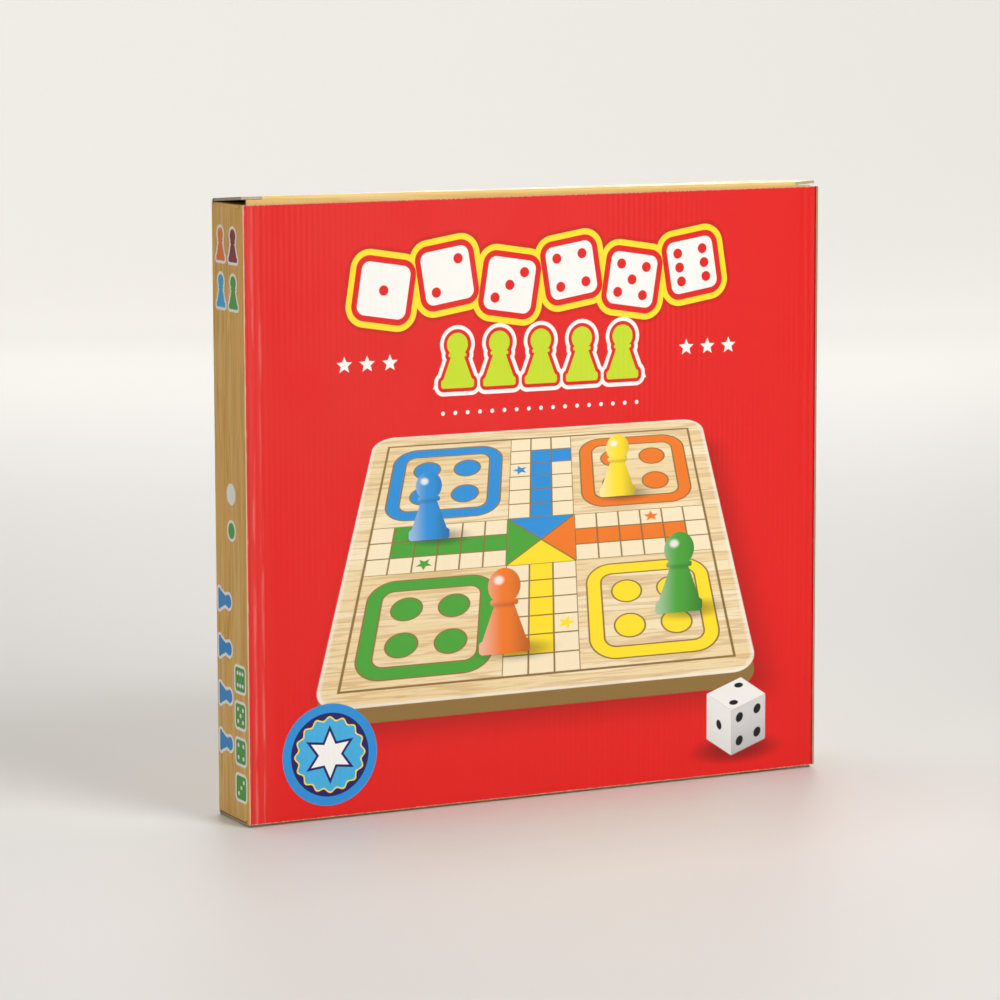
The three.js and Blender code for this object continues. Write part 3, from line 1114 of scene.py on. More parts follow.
def slice_at(shape: BMesh, point: Vector, way: Vector,
             parts: Optional[Sequence[Part]] = None, clear: bool = False) -> None:
    """Cuts a shape along a plane.

    Args:
        shape: the bmesh.
        point: on the plane.
        way: the plane's normal.
        parts: what is cut, if not all.
        clear: whether what lies beyond the plane is removed.
    """
    cut = parts or [*shape.verts, *shape.edges, *shape.faces]
    bmesh.ops.bisect_plane(shape, geom=cut, dist=SNAP, plane_co=point, plane_no=way, clear_outer=clear)


def draw_out(shape: BMesh, edges: Sequence[BMEdge], step: Place) -> list[Part]:
    """Draws edges out into faces.

    Args:
        shape: the bmesh.
        edges: which ones.
        step: how far and which way.

    Returns:
        The new parts.
    """
    made = bmesh.ops.extrude_edge_only(shape, edges=edges)["geom"]
    bmesh.ops.translate(shape, vec=step, verts=picked(made, BMVert))
    return made


def bend(shape: BMesh, edge: BMEdge, middle: Place, steps: int) -> BMEdge:
    """Draws an edge that runs along X out into a quarter of a round.

    Args:
        shape: the bmesh.
        edge: where it starts.
        middle: of the round.
        steps: how many faces it has.

    Returns:
        The edge where it ends.
    """
    turned = bmesh.ops.spin(shape, geom=[edge, *edge.verts], cent=middle, axis=(1, 0, 0),
                            angle=math.pi / 2, steps=steps)
    return picked(turned["geom_last"], BMEdge)[0]


def face_towards(shape: BMesh, faces: Sequence[BMFace], way: Vector) -> None:
    """Turns a sheet's faces so that most of them point along a direction.

    Args:
        shape: the bmesh.
        faces: of the sheet.
        way: the direction.
    """
    bmesh.ops.recalc_face_normals(shape, faces=faces)
    shape.normal_update()
    total = sum((face.normal * face.calc_area() for face in faces), Vector())
    if total.dot(way) < 0:
        bmesh.ops.reverse_faces(shape, faces=faces)


def face_round(shape: BMesh, sign: int) -> None:
    """Turns the faces of a tube round the Z axis.

    Args:
        shape: the bmesh.
        sign: 1 for outwards and -1 for inwards.
    """
    bmesh.ops.recalc_face_normals(shape, faces=shape.faces[:])
    shape.normal_update()
    flow = sum(face.normal.dot(face.calc_center_median()) * face.calc_area() for face in shape.faces)
    if flow * sign < 0:
        bmesh.ops.reverse_faces(shape, faces=shape.faces[:])
        shape.normal_update()


class Layer(IntEnum):
    """Material slots of a flap's layers, the last of which the sleeve's core shares."""

    PRINT = 0
    BARE = 1
    FLUTE = 2


class Panel(IntEnum):
    """Material slots of the printed sleeve, each print followed by its bare inside."""

    FRONT = 0
    SPINE = 2
    WOOD = 4
    CUT = 6


@dataclass(frozen=True)
class Card:
    """Fine-flute corrugated card."""

    calliper: float = 1.5
    paper: float = 0.3            # thickness of each liner and of the fluted paper
    flute_pitch: float = 3.2
    flute_rim: float = 0.3        # the fluted paper ends this far inside the liners
    wave_steps: int = 8
    fold: float = 1.4             # outside radius of a crease
    fold_steps: int = 6
    crease: float = 1.65          # from a crease's outer corner to the panel that it leaves
    give: float = 4.0             # reach of the bend beside a crease

    def wall(self, piece: Object) -> Object:
        """Gives every sheet of a piece the paper's thickness, with bare paper inside.

        Args:
            piece: the piece.

        Returns:
            The same piece.
        """
        thick = piece.modifiers.new("paper", "SOLIDIFY")
        thick.thickness = self.paper * MM
        thick.offset = -1.0
        thick.material_offset = 1
        thick.material_offset_rim = 1
        return settle(piece)

    def flutes(self, shape: BMesh, across: Point, along: Point) -> list[BMVert]:
        """Adds fluted paper between the liners of a panel, in the panel's own axes.

        Args:
            shape: the bmesh.
            across: where the waves start and end.
            along: where each flute starts and ends.

        Returns:
            The new vertices.
        """
        width = across[1] - across[0]
        steps = max(2, round(width / self.flute_pitch * self.wave_steps))
        verts = bmesh.ops.create_grid(shape, x_segments=steps, y_segments=1, size=1.0)["verts"]
        half = max(vert.co.x for vert in verts)
        swing = self.calliper / 2 - self.paper
        for vert in verts:
            a = across[0] + width * (vert.co.x / half + 1) / 2
            b = along[0] if vert.co.y < 0 else along[1]
            wave = math.cos(2 * math.pi * a / self.flute_pitch)
            vert.co = (a, b, -self.calliper / 2 + self.paper / 2 + (swing - self.paper / 2) * wave)
        for face in {face for vert in verts for face in vert.link_faces}:
            face.material_index = Layer.FLUTE
        return verts


@dataclass
class Sleeve:
    """The carton's four panels: printed liner, fluted paper, inner liner and glue lap."""

    card: Card
    finishes: dict[str, Material]
    corner_post: float = 3.2      # side panel left standing beside each upright fold
    crease_drop: float = 1.8      # the side panels end this far below the others
    inner_fold: float = 0.5
    cut_edge: float = 1.1         # right panel's cut edge, crushed, which shows at the front
    seam_width: float = 0.9       # groove beside it
    seam_depth: float = 0.8
    lap_width: float = 24.0
    lap_taper: float = 8.0
    glue: float = 0.1             # between the lap and the panel

    def __post_init__(self) -> None:
        """Finds the sleeve's corners and its cut edge."""
        self.low, self.high = box_of("carton_sleeve")
        self.cut = self.high.x - self.cut_edge

    def tube(self, inset: float, fold: float, joint: bool = False) -> BMesh:
        """The sleeve as one sheet, with notched ends on the side panels.

        Args:
            inset: from the outside.
            fold: radius of its upright folds.
            joint: whether the right front corner is the cut edge of the glue joint.

        Returns:
            The sheet.
        """
        shape = block(self.high - self.low - Vector((2 * inset, 2 * inset, 0)))
        bmesh.ops.translate(shape, vec=(self.high + self.low) / 2, verts=shape.verts)
        ends = [face for face in shape.faces if abs(face.normal.z) > FACING]
        bmesh.ops.delete(shape, geom=ends, context="FACES_ONLY")
        upright = edges_along(shape, 2)
        if joint:
            upright = [e for e in upright if e.verts[0].co.x < 0 or e.verts[0].co.y > 0]
        round_off(shape, upright, fold, self.card.fold_steps)
        half = self.high.y - self.corner_post
        for z in (self.low.z + self.crease_drop, self.high.z - self.crease_drop):
            slice_at(shape, Vector((0, 0, z)), Vector((0, 0, 1)))
        for y in (-half, half):
            slice_at(shape, Vector((0, y, 0)), Vector((0, 1, 0)))
        middle = (self.low.z + self.high.z) / 2
        reach = self.high.z - middle - self.crease_drop
        notches = [face for face in shape.faces
                   if abs(face.calc_center_median().y) < half
                   and abs(face.normal.x) > FACING
                   and abs(face.calc_center_median().z - middle) > reach]
        bmesh.ops.delete(shape, geom=notches, context="FACES")
        if joint:
            self.seam(shape)
        return shape

    def seam(self, shape: BMesh) -> None:
        """Presses the groove where the front panel turns in behind the right panel's cut edge.

        Args:
            shape: the sleeve's sheet.
        """
        groove = self.cut - self.seam_width / 2
        for x in (self.cut - self.seam_width, groove, self.cut):
            front = [f for f in shape.faces if abs(f.normal.y) > FACING and f.calc_center_median().y < 0]
            parts = {part for face in front for part in (face, *face.edges, *face.verts)}
            slice_at(shape, Vector((x, 0, 0)), Vector((1, 0, 0)), list(parts))
        for vert in shape.verts:
            if abs(vert.co.x - groove) < SNAP and vert.co.y < 0:
                vert.co.y += self.seam_depth
        shape.normal_update()

    def panel(self, face: BMFace) -> Panel:
        """Says which print a face of the sleeve has.

        Args:
            face: the face.

        Returns:
            Its material slot.
        """
        middle = face.calc_center_median()
        ahead = face.normal.y < -HALFWAY
        if ahead and middle.x > self.cut:
            return Panel.CUT
        if ahead or (middle.y < 0 and 0 < middle.x < self.cut):
            return Panel.FRONT
        return Panel.SPINE if face.normal.x < -HALFWAY else Panel.WOOD

    def printed(self) -> Object:
        """Makes the printed outer liner.

        Returns:
            The piece.
        """
        shape = self.tube(0.0, self.card.fold, joint=True)
        face_round(shape, 1)
        for face in shape.faces:
            face.material_index = self.panel(face)
        names = ("front", "kraft", "spine", "kraft", "wood", "kraft", "cut")
        finishes = [self.finishes[name] for name in names]
        return self.card.wall(link_piece("carton_print", shape, Matrix.Scale(MM, 4), finishes))

    def core(self) -> Object:
        """Makes the inner liner, the fluted paper of each panel and the glue lap.

        Returns:
            The piece.
        """
        card = self.card
        shape = self.tube(card.calliper, self.inner_fold)
        face_round(shape, -1)
        self.fluted_panels(shape)
        lap_foot = self.crease_drop + card.calliper
        inside = self.high.x - card.calliper
        root = self.low.y + card.calliper
        tip = root + self.lap_width
        foot, top = self.low.z + lap_foot, self.high.z - lap_foot
        corners = [(root, foot), (root, top), (tip, top - self.lap_taper), (tip, foot + self.lap_taper)]
        for depth, way in ((self.glue, 1), (card.calliper, -1)):
            sheet = shape.faces.new([shape.verts.new((inside - depth, y, z)) for y, z in corners])
            face_towards(shape, [sheet], Vector((way, 0, 0)))
        finishes = [self.finishes[name] for name in ("kraft", "flute", "flute")]
        return card.wall(link_piece("carton_core", shape, Matrix.Scale(MM, 4), finishes))

    def fluted_panels(self, shape: BMesh) -> None:
        """Adds upright flutes to the four panels.

        Args:
            shape: the bmesh.
        """
        card = self.card
        up = Vector((0, 0, 1))
        for axis, half_run, drop in ((1, self.high.x, 0.0), (0, self.high.y, self.crease_drop)):
            for side in (-1, 1):
                way = Vector((0, 0, 0))
                way[axis] = side
                run = half_run - card.calliper - self.inner_fold
                foot, top = self.low.z + drop + card.flute_rim, self.high.z - drop - card.flute_rim
                verts = card.flutes(shape, (-run, run), (foot, top))
                place = Matrix((up.cross(way), up, way)).transposed().to_4x4()
                place.translation = way * self.high[axis]
                bmesh.ops.transform(shape, matrix=place, verts=verts)

    def build(self) -> None:
        """Builds both pieces and ties them to the carton."""
        for piece in (self.printed(), self.core()):
            stand_in(piece, "carton_sleeve")


class FlapKind(Enum):
    """The three kinds of flap that close an end."""

    LID = "lid"
    TUCK = "tuck"
    DUST = "dust"


@dataclass
class Flap:
    """One flap with its crease: printed liner, fluted paper and inner liner. In its own axes the crease
    runs along X, the flap reaches out along Y and its printed face looks along Z."""

    name: str
    kind: FlapKind
    card: Card
    finishes: Sequence[Material]
    out: Vector                   # from the crease towards the far edge, shut
    normal: Vector                # of the printed face, shut
    parent_turn: Matrix = field(default_factory=lambda: Matrix.Identity(3))
    sag: float = 0.0              # drop of the lid's front edge at its right end
    perk: float = 0.0             # rise of the corner beyond the slit there
    slit: float = 11.5            # slit lock at each end of the lid's front crease
    tuck_corner: float = 10.0
    dust_shoulder: float = 8.0
    dust_tip: float = 4.0
    corner_steps: int = 6
    tip_depth: float = 0.05       # points this near the far edge belong to it
    cut_pitch: float = 24.0

    def __post_init__(self) -> None:
        """Finds the flap's axes at rest and its reach from the frame."""
        joint = next(j for j in frame["joints"] if j["child"] == self.name)
        self.parent = joint["parent"]
        spring = Matrix.Rotation(-math.radians(joint["range_deg"][0]), 3, Vector(joint["axis"]))
        self.turn = spring @ self.parent_turn
        out, normal = self.turn @ self.out, self.turn @ self.normal
        origin = Vector(joint["pos_m"]) / MM
        if self.kind is FlapKind.TUCK:
            origin += normal * self.card.calliper - out * self.card.crease
        self.axes = Matrix((out.cross(normal), out, normal)).transposed().to_4x4()
        self.axes.translation = origin
        inverse = self.axes.inverted()
        local = [inverse @ (v.co / MM) for v in frame["nodes"][self.name].data.vertices]
        self.reach = max(point.y for point in local)
        self.half = max(point.x for point in local)
        self.other_half = -min(point.x for point in local)
        tips = [point.x for point in local if point.y > self.reach - self.tip_depth]
        self.tip = (min(tips), max(tips))

    @property
    def inner(self) -> float:
        """From the flap's middle to the slit at each end."""
        return self.half - self.slit

    def outline(self, start: float) -> list[Point]:
        """Corners of the flap, beginning with the two ends of its crease.

        Args:
            start: where the flat stretch starts, out from the crease.

        Returns:
            The corners.
        """
        half, inner, reach, edge = self.half, self.inner, self.reach, self.card.crease
        if self.kind is FlapKind.LID:
            return [(-half, start), (half, start), (half, reach), (inner, reach), (inner, reach - edge),
                    (-inner, reach - edge), (-inner, reach), (-half, reach)]
        if self.kind is FlapKind.TUCK:
            return [(-inner, start), (inner, start), (inner, edge), (half, edge), (half, reach),
                    (-half, reach), (-half, edge), (-inner, edge)]
        return [(-self.other_half, start), (half, start), (half, self.dust_shoulder),
                (self.tip[1] + self.dust_tip / 2, reach), (self.tip[0] - self.dust_tip / 2, reach),
                (-self.other_half, self.dust_shoulder)]

    def sheet(self, shape: BMesh, start: float, level: float) -> BMEdge:
        """Adds the flat stretch of one liner.

        Args:
            shape: the bmesh.
            start: where it starts, out from the crease.
            level: its height.

        Returns:
            The edge along the crease.
        """
        verts = [shape.verts.new((a, b, level)) for a, b in self.outline(start)]
        shape.faces.new(verts)
        root = shape.edges.get(verts[:2])
        if self.kind is not FlapKind.LID:
            corner = self.tuck_corner if self.kind is FlapKind.TUCK else self.dust_tip
            tips = [vert for vert in verts if vert.co.y > self.reach - SNAP]
            round_off(shape, tips, corner, self.corner_steps, affect="VERTICES")
        return root

    def liners(self) -> BMesh:
        """Makes both liners, with their bends at the crease.

        Returns:
            Their bmesh.
        """
        card = self.card
        whole = bmesh.new()
        for layer, start, level in ((Layer.PRINT, card.fold, 0.0),
                                    (Layer.BARE, card.crease, -card.calliper)):
            shape = bmesh.new()
            root = self.sheet(shape, start, level)
            if layer is Layer.PRINT:
                root = bend(shape, root, (0, card.fold, -card.fold), card.fold_steps)
                step = (0, 0, card.fold - card.crease)
            else:
                step = (0, card.calliper - card.crease, card.calliper - card.crease)
            draw_out(shape, [root], step)
            face_towards(shape, shape.faces[:], Vector((0, 0, 1 if layer is Layer.PRINT else -1)))
            for face in shape.faces:
                face.material_index = layer
            self.cut(shape)
            self.append(whole, shape)
        return whole

    def cut(self, shape: BMesh) -> None:
        """Divides a sheet where it bends, and evenly along the crease.

        Args:
            shape: the sheet's bmesh.
        """
        count = int(self.inner // self.cut_pitch)
        cuts = [a * self.cut_pitch for a in range(-count, count + 1)]
        if self.kind is not FlapKind.TUCK:
            cuts += [-self.inner, self.inner]
        for a in cuts:
            slice_at(shape, Vector((a, 0, 0)), Vector((1, 0, 0)))
        slice_at(shape, Vector((0, self.card.give, 0)), Vector((0, 1, 0)))
        bmesh.ops.remove_doubles(shape, verts=shape.verts, dist=SNAP)

    @staticmethod
    def append(whole: BMesh, shape: BMesh) -> None:
        """Adds one bmesh to another.

        Args:
            whole: the one that grows.
            shape: the one that is added, which is freed.
        """
        mesh = bpy.data.meshes.new("sheet")
        shape.to_mesh(mesh)
        shape.free()
        whole.from_mesh(mesh)
        bpy.data.meshes.remove(mesh)

    def fill(self, whole: BMesh) -> None:
        """Adds the fluted paper between the liners, cut to the flap's outline.

        Args:
            whole: the flap's bmesh.
        """
        card, rim = self.card, self.card.flute_rim
        end = self.reach - rim
        spans = [(-self.other_half + rim, self.half - rim, end)]
        if self.kind is FlapKind.LID:
            spans = [(-self.half + rim, -self.inner - rim, end),
                     (-self.inner, self.inner, end - card.crease),
                     (self.inner + rim, self.half - rim, end)]
        for left, right, top in spans:
            shape = bmesh.new()
            card.flutes(shape, (left, right), (card.give, top))
            if self.kind is not FlapKind.LID:
                self.trim(shape)
            self.append(whole, shape)
        if self.kind is FlapKind.LID:
            self.close_ends(whole)

    def close_ends(self, whole: BMesh) -> None:
        """Closes the lid's ends and slit locks, where the flutes are crushed flat.

        Args:
            whole: the lid's bmesh.
        """
        card = self.card
        inset = card.paper / 2
        half, inner, reach = self.half - inset, self.inner + inset, self.reach - inset
        corners = [(inner, reach - card.crease), (inner, reach), (half, reach), (half, card.crease)]
        for side in (-1, 1):
            line = [whole.verts.new((side * a, b, -card.paper)) for a, b in corners]
            edges = [whole.edges.new(pair) for pair in zip(line, line[1:])]
            made = draw_out(whole, edges, (0, 0, 2 * card.paper - card.calliper))
            walls = picked(made, BMFace)
            for wall in walls:
                wall.material_index = Layer.BARE
            face_towards(whole, walls, Vector((side, 0, 0)))

    def trim(self, shape: BMesh) -> None:
        """Cuts fluted paper to the flap's outline, a little inside it.

        Args:
            shape: the fluted paper's bmesh.
        """
        guide = bmesh.new()
        self.sheet(guide, self.card.fold, 0.0)
        middle = Vector(((self.half - self.other_half) / 2, self.reach / 2, 0))
        for edge in guide.edges:
            near, far = (vert.co for vert in edge.verts)
            if min(near.y, far.y) < self.card.crease + SNAP:
                continue
            way = (far - near).cross(Vector((0, 0, 1))).normalized()
            if way.dot(near - middle) < 0:
                way = -way
            slice_at(shape, near - way * self.card.flute_rim, way, clear=True)
        guide.free()

    def warp(self, shape: BMesh) -> None:
        """Lets a lid that springs less at one end sag there, and its tuck with it.

        Args:
            shape: the flap's bmesh.
        """
        for vert in shape.verts:
            drop = self.sag * (1 - vert.co.x / self.half) / 2
            if self.kind is FlapKind.LID:
                out = max(vert.co.y, 0) / self.reach
                tab = max(-self.inner - vert.co.x, 0) / self.slit
                vert.co.z += self.perk * tab * out ** 2 - drop * out
            else:
                vert.co.y += drop

    def build(self) -> None:
        """Builds the flap and hides the node that it replaces."""
        shape = self.liners()
        self.fill(shape)
        self.warp(shape)
        place = Matrix.Scale(MM, 4) @ self.axes
        piece = self.card.wall(link_piece(f"{self.name}_card", shape, place, self.finishes))
        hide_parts(self.name)
        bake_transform(piece)


@dataclass
class Closure:
    """Everything that shuts one end: a lid with its tuck, and two dust flaps."""

    end: str
    up: Vector
    card: Card
    finishes: Sequence[Material]
    dust_finishes: Sequence[Material]
    sag: float = 0.0              # drop of the lid's front edge at its right end
    perk: float = 0.0             # rise of the corner beyond the slit there

    def build(self) -> None:
        """Builds the four flaps."""
        front = Vector((0, -1, 0))
        lid = Flap(f"{self.end}_lid", FlapKind.LID, self.card, self.finishes, front, self.up,
                   sag=self.sag, perk=self.perk)
        lid.build()
        tuck = Flap(f"{self.end}_tuck", FlapKind.TUCK, self.card, self.finishes, -self.up, front,
                    parent_turn=lid.turn, sag=self.sag)
        tuck.slit = tuck.half - lid.inner
        tuck.build()
        for side, way in (("left", Vector((1, 0, 0))), ("right", Vector((-1, 0, 0)))):
            name = f"{self.end}_dust_{side}"
            Flap(name, FlapKind.DUST, self.card, self.dust_finishes, way, self.up).build()


@dataclass
class PlayingBoard:
    """The wooden board with round corners and softened edges."""

    finish: BoardFinish = BoardFinish()
    corner: float = 14.0
    corner_steps: int = 10
    edge: float = 1.5
    edge_steps: int = 4

    def build(self) -> None:
        """Builds the board and ties it to the carton."""
        low, high = box_of("playing_board")
        shape = block(high - low)
        round_off(shape, edges_along(shape, 1), self.corner, self.corner_steps)
        rims = [e for e in shape.edges if any(abs(face.normal.y) > FACING for face in e.link_faces)]
        round_off(shape, rims, self.edge, self.edge_steps)
        middle = (low + high) / 2
        place = Matrix.Scale(MM, 4) @ Matrix.Translation(middle)
        piece = link_piece("board", shape, place, [self.finish.material(middle)])
        stand_in(piece, "playing_board")


@dataclass
class PawnSet:
    """Sixteen turned pawns, four of each colour."""

    base_radius: float = 7.5
    rim_height: float = 2.2
    neck_radius: float = 2.8
    collar_radius: float = 4.2
    collar_height: float = 1.4
    head_radius: float = 5.2
    edge: float = 0.4
    turn_steps: int = 40
    doubles: float = 0.001        # vertices this near are merged
    each: int = 4                 # pawns of one colour
    colours: tuple[tuple[str, Inks], ...] = (
        ("blue", Inks.BLUE), ("yellow", Inks.YELLOW), ("green", Inks.GREEN), ("orange", Inks.ORANGE))

    def profile(self, shape: BMesh, height: float) -> None:
        """Draws half of the pawn's outline, from the foot to the top.

        Args:
            shape: the bmesh.
            height: of the pawn.
        """
        def run(radius: float, level: float) -> None:
            """Draws a straight stretch.

            Args:
                radius: where it ends, out from the axis.
                level: and how high.
            """
            nonlocal last
            last = bmesh.ops.extrude_vert_indiv(shape, verts=[last])["verts"][0]
            last.co = (radius, 0, level)

        def sweep(middle: Point, degrees: float, steps: int) -> None:
            """Draws an arc.

            Args:
                middle: its middle's radius and height.
                degrees: its angle, anticlockwise as seen from the front.
                steps: how many edges it has.
            """
            nonlocal last
            turned = bmesh.ops.spin(shape, geom=[last], cent=(middle[0], 0, middle[1]), axis=(0, -1, 0),
                                    angle=math.radians(degrees), steps=steps)
            last = picked(turned["geom_last"], BMVert)[0]

        head = height - self.head_radius
        start = math.acos(self.neck_radius / self.head_radius)
        collar_top = head - self.head_radius * math.sin(start)
        collar_foot = collar_top - self.collar_height
        flat = self.base_radius - self.edge
        last = shape.verts.new((0, 0, 0))
        run(flat, 0)
        sweep((flat, self.edge), 90, steps=4)
        run(self.base_radius, self.rim_height - self.edge)
        sweep((flat, self.rim_height - self.edge), 90, steps=4)
        # The flank is an arc that ends upright at the neck
        foot = Vector((flat, self.rim_height))
        neck = Vector((self.neck_radius, collar_foot))
        chord = neck - foot
        radius = chord.length_squared / (2 * -chord.x)
        middle = (neck.x + radius, neck.y)
        opening = math.degrees(math.atan2(middle[1] - foot.y, middle[0] - foot.x))
        sweep(middle, -opening, steps=12)
        round_middle = (self.collar_radius - self.collar_height / 2, collar_foot + self.collar_height / 2)
        run(round_middle[0], collar_foot)
        sweep(round_middle, 180, steps=8)
        run(self.neck_radius, collar_top)
        sweep((0, head), 90 + math.degrees(start), steps=16)
        last.co.x = 0

    def pawn(self, name: str, finish: Material) -> Object:
        """Turns one pawn and lays it on its place in the fitment.

        Args:
            name: the node that it stands for.
            finish: its plastic.

        Returns:
            The piece.
        """
        low, high = box_of(name)
        shape = bmesh.new()
        self.profile(shape, high.y - low.y)
        bmesh.ops.spin(shape, geom=[*shape.verts, *shape.edges], cent=(0, 0, 0), axis=(0, 0, 1),
                       angle=2 * math.pi, steps=self.turn_steps, use_merge=True)
        bmesh.ops.remove_doubles(shape, verts=shape.verts, dist=self.doubles)
        bmesh.ops.recalc_face_normals(shape, faces=shape.faces)
        stand = Matrix.Translation(((low.x + high.x) / 2, high.y, (low.z + high.z) / 2))
        place = Matrix.Scale(MM, 4) @ stand @ Matrix.Rotation(math.pi / 2, 4, "X")
        return link_piece(f"{name}_turned", shape, place, [finish])

    def build(self) -> None:
        """Builds the pawns and ties them to the carton."""
        for colour, tone in self.colours:
            finish = PlasticFinish(f"{colour}_plastic", tone).material()
            for number in range(1, self.each + 1):
                name = f"pawn_{colour}_{number}"
                stand_in(self.pawn(name, finish), name)


@dataclass
class Die:
    """A die with round edges and sunk, painted pips."""

    edge: float = 2.2
    edge_steps: int = 5
    pip_radius: float = 1.5
    pip_depth: float = 0.7
    pip_spacing: float = 4.0
    pip_roughness: float = 0.4

    def pips(self, half: float) -> BMesh:
        """The balls that sink the pips.

        Args:
            half: half of the die's size.

        Returns:
            Their shape.
        """
        shape = bmesh.new()
        faces = {1: (0, -1, 0), 6: (0, 1, 0), 2: (1, 0, 0), 5: (-1, 0, 0), 3: (0, 0, 1), 4: (0, 0, -1)}
        for count, way in faces.items():
            out = Vector(way)
            across = Vector((0, 1, 0)) if out.x else Vector((1, 0, 0))
            up = out.cross(across)
            steps = [(0, 0)] * (count % 2) + [(-1, -1), (1, 1)] * (count > 1)
            steps += [(-1, 1), (1, -1)] * (count > 3) + [(-1, 0), (1, 0)] * (count > 5)
            for column, row in steps:
                middle = out * (half + self.pip_radius - self.pip_depth)
                middle += (across * column + up * row) * self.pip_spacing
                bmesh.ops.create_uvsphere(shape, u_segments=20, v_segments=12, radius=self.pip_radius,
                                          matrix=Matrix.Translation(middle))
        return shape

    def build(self) -> None:
        """Builds the die and ties it to the carton."""
        low, high = box_of("die")
        size = high.x - low.x
        shape = block(Vector((size, size, size)))
        round_off(shape, shape.edges[:], self.edge, self.edge_steps)
        place = Matrix.Scale(MM, 4) @ Matrix.Translation((low + high) / 2)
        ivory = PlasticFinish("ivory_plastic", Inks.WHITE).material()
        black = PlasticFinish("pip_paint", Inks.BLACK, self.pip_roughness).material()
        piece = link_piece("die_moulded", shape, place, [ivory, black])
        balls = link_piece("pip_balls", self.pips(size / 2), place, [black])
        sink = piece.modifiers.new("pips", "BOOLEAN")
        sink.operation = "DIFFERENCE"
        sink.solver = "EXACT"
        sink.material_mode = "TRANSFER"
        sink.object = balls
        settle(piece)
        bpy.data.objects.remove(balls)
        stand_in(piece, "die")


@dataclass
class Fitment:
    """The folded card that holds the pawns and the die, which keeps its CAD shape."""

    finish: PaperFinish = PaperFinish("grey_card", Inks.CARD, Inks.CARD_DARK)

    def dress(self) -> None:
        """Gives the node its card."""
        node = frame["nodes"]["card_fitment"]
        node.data.materials.clear()
        node.data.materials.append(self.finish.material())
        log.info("card_fitment: dressed")


# Studio, in metres


@dataclass(frozen=True)
class Lamp:
    """A soft rectangular lamp."""

    name: str
    at: Place
    size: Point
    power: float                  # in watts
    spread: float = 180.0         # how wide its light fans out, in degrees

    def hang(self, aim: Vector) -> None:
        """Hangs the lamp, out of the camera's sight.

        Args:
            aim: what it points at.
        """
        data = bpy.data.lights.new(self.name, "AREA")
        data.shape = "RECTANGLE"
        data.size, data.size_y = self.size
        data.energy = self.power
        data.spread = math.radians(self.spread)
        lamp = bpy.data.objects.new(self.name, data)
        lamp.visible_camera = False
        lamp.location = self.at
        lamp.rotation_euler = (aim - Vector(self.at)).to_track_quat("-Z", "Y").to_euler()
        bpy.context.scene.collection.objects.link(lamp)


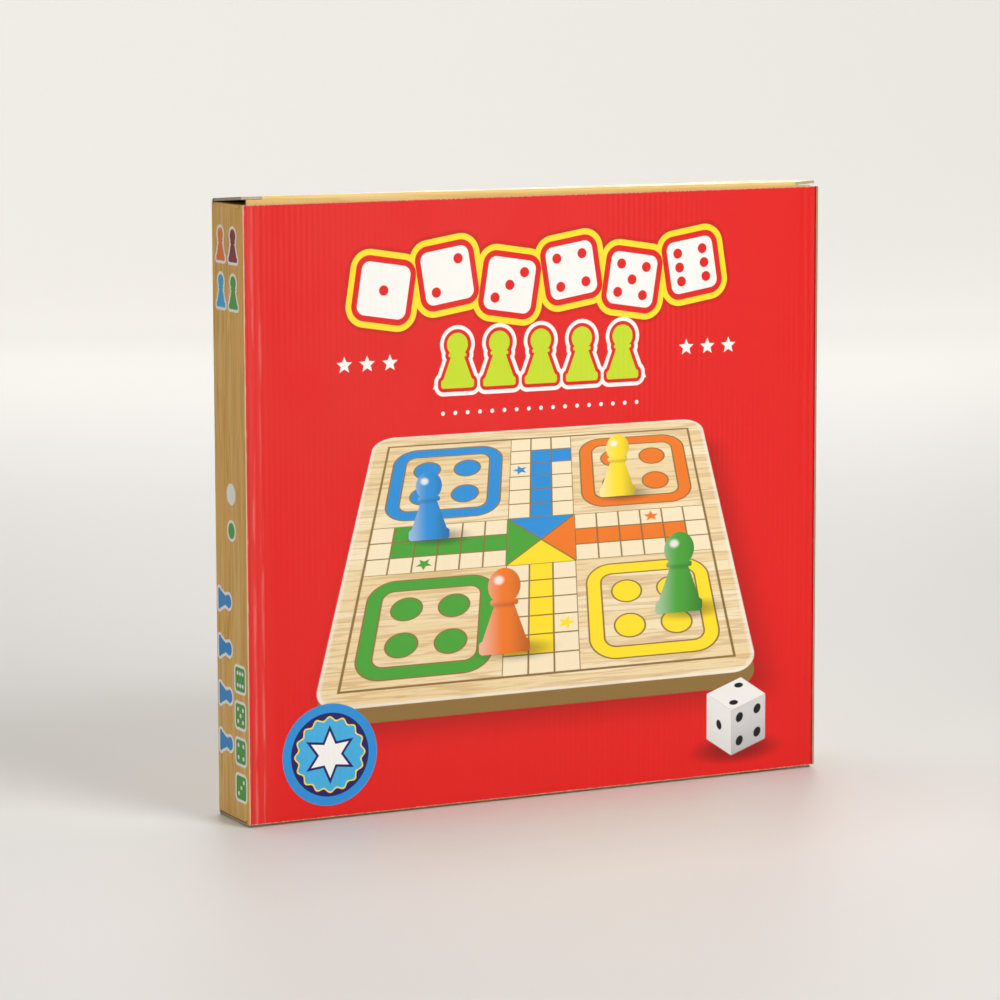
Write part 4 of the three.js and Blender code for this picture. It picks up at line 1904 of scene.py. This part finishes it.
@dataclass
class Studio:
    """Pale floor and backdrop, soft lamps and the camera."""

    floor_reach: float = 3.0
    floor_width: float = 8.0
    floor_roughness: float = 0.6
    cove: float = 1.2
    cove_steps: int = 16
    wall: float = 3.0
    lit_reach: Point = (0.5, 3.0)  # the lamps' light fades between these distances
    aim: Place = (0.0, 0.0, 0.16)
    room_light: float = 0.24
    lamps: tuple[Lamp, ...] = (
        Lamp("key", (0.9, -2.2, 1.9), (1.4, 1.4), 48.0),
        Lamp("fill", (-2.2, -1.0, 1.1), (1.2, 1.6), 7.0),
        Lamp("strip", (0.62, -2.0, 0.4), (0.5, 0.7), 6.0),
        Lamp("top", (0.0, 0.5, 2.4), (1.8, 1.2), 20.0),
        Lamp("back", (1.2, 2.5, 0.7), (1.4, 1.0), 1.8, 70.0))
    camera_at: Place = (-0.9667, -1.8859, 0.4483)
    yaw: float = 26.80            # degrees from straight on, towards the right
    pitch: float = 7.80           # degrees down
    roll: float = -0.175
    lens: float = 144.0

    def floor(self) -> None:
        """Builds the floor, which curves up into the backdrop."""
        shape = bmesh.new()
        half = self.floor_width / 2
        edge = shape.edges.new([shape.verts.new((x, -self.floor_reach, 0)) for x in (-half, half)])
        made = draw_out(shape, [edge], (0, 2 * self.floor_reach, 0))
        edge = picked(made, BMEdge)[0]
        edge = bend(shape, edge, (0, self.floor_reach, self.cove), self.cove_steps)
        draw_out(shape, [edge], (0, 0, self.wall))
        face_towards(shape, shape.faces[:], Vector((0, -1, 1)))
        link_piece("studio_floor", shape, Matrix.Identity(4), [self.pale_finish()])

    def pale_finish(self) -> Material:
        """Makes the floor's finish, which stays pale to the eye where the lamps don't reach.

        Returns:
            The material.
        """
        paint = Paint("studio_floor")
        x, y, _ = paint.place
        rays = [paint.node("ShaderNodeLightPath", {}, {}, output=f"Is {kind} Ray")
                for kind in ("Camera", "Glossy", "Transmission")]
        near, far = self.lit_reach
        dim = Spot(x, y).reach().ramp(near / MM, far / MM)
        glow = paint.mix(Inks.BLACK_OUT, Inks.BACKDROP, reduce(Value.most, rays) * dim)
        others = {"Emission Color": glow, "Emission Strength": 1.0}
        return paint.dress(Inks.FLOOR, self.floor_roughness, others=others)

    def light(self) -> None:
        """Hangs the lamps and sets the room's light."""
        for lamp in self.lamps:
            lamp.hang(Vector(self.aim))
        world = bpy.data.worlds.new("room")
        world.use_nodes = True
        back = world.node_tree.nodes["Background"]
        back.inputs["Color"].default_value = (1.0, 1.0, 1.0, 1.0)
        back.inputs["Strength"].default_value = self.room_light
        bpy.context.scene.world = world
        bpy.context.scene.view_settings.view_transform = "Standard"

    def camera(self) -> None:
        """Sets the camera at the photograph's viewing angle."""
        data = bpy.data.cameras.new("camera")
        data.lens = self.lens
        camera = bpy.data.objects.new("camera", data)
        yaw, pitch, roll = (math.radians(angle) for angle in (self.yaw, self.pitch, self.roll))
        turn = Matrix.Rotation(-yaw, 4, "Z") @ Matrix.Rotation(math.pi / 2 - pitch, 4, "X")
        camera.matrix_world = Matrix.Translation(self.camera_at) @ turn @ Matrix.Rotation(roll, 4, "Z")
        bpy.context.scene.collection.objects.link(camera)
        bpy.context.scene.camera = camera

    def build(self) -> None:
        """Builds the whole studio."""
        self.camera()
        self.floor()
        self.light()


def main() -> None:
    """Builds the studio, the carton and what it holds."""
    logging.basicConfig(level=logging.INFO, format="%(name)s: %(message)s")
    Studio().build()
    card = Card()
    kraft = PaperFinish("kraft_liner", Inks.KRAFT, Inks.KRAFT_DARK).material()
    flute = PaperFinish("fluted_paper", Inks.KRAFT, Inks.KRAFT_DARK, roughness=0.9).material()
    finishes = {"front": FrontPrint().material(), "spine": SpinePrint().material(),
                "wood": WoodPrint().material(), "kraft": kraft, "flute": flute,
                "cut": PaperFinish("cut_edge", Inks.KRAFT_DARK, Inks.CARD_DARK).material()}
    Sleeve(card, finishes).build()
    # paler copy of the wood print's tones, painted light for the lit top lid; the bottom lid and the tucks
    # share it
    lit_lid_tones = (Inks.WOOD_PALE, Inks.WOOD_BRIGHT, Inks.WOOD)
    lid_print = WoodPrint(name="lid_print", grain=Grain.LEVEL, tones=lit_lid_tones).material()
    flap_finishes = [lid_print, kraft, flute]
    dust_finishes = [WoodPrint(name="dust_print", grain=Grain.DEEP).material(), kraft, flute]
    Closure("top", Vector((0, 0, 1)), card, flap_finishes, dust_finishes, sag=1.9, perk=0.7).build()
    Closure("bottom", Vector((0, 0, -1)), card, flap_finishes, dust_finishes).build()
    PlayingBoard().build()
    PawnSet().build()
    Die().build()
    Fitment().dress()


if __name__ == "__main__":
    main()
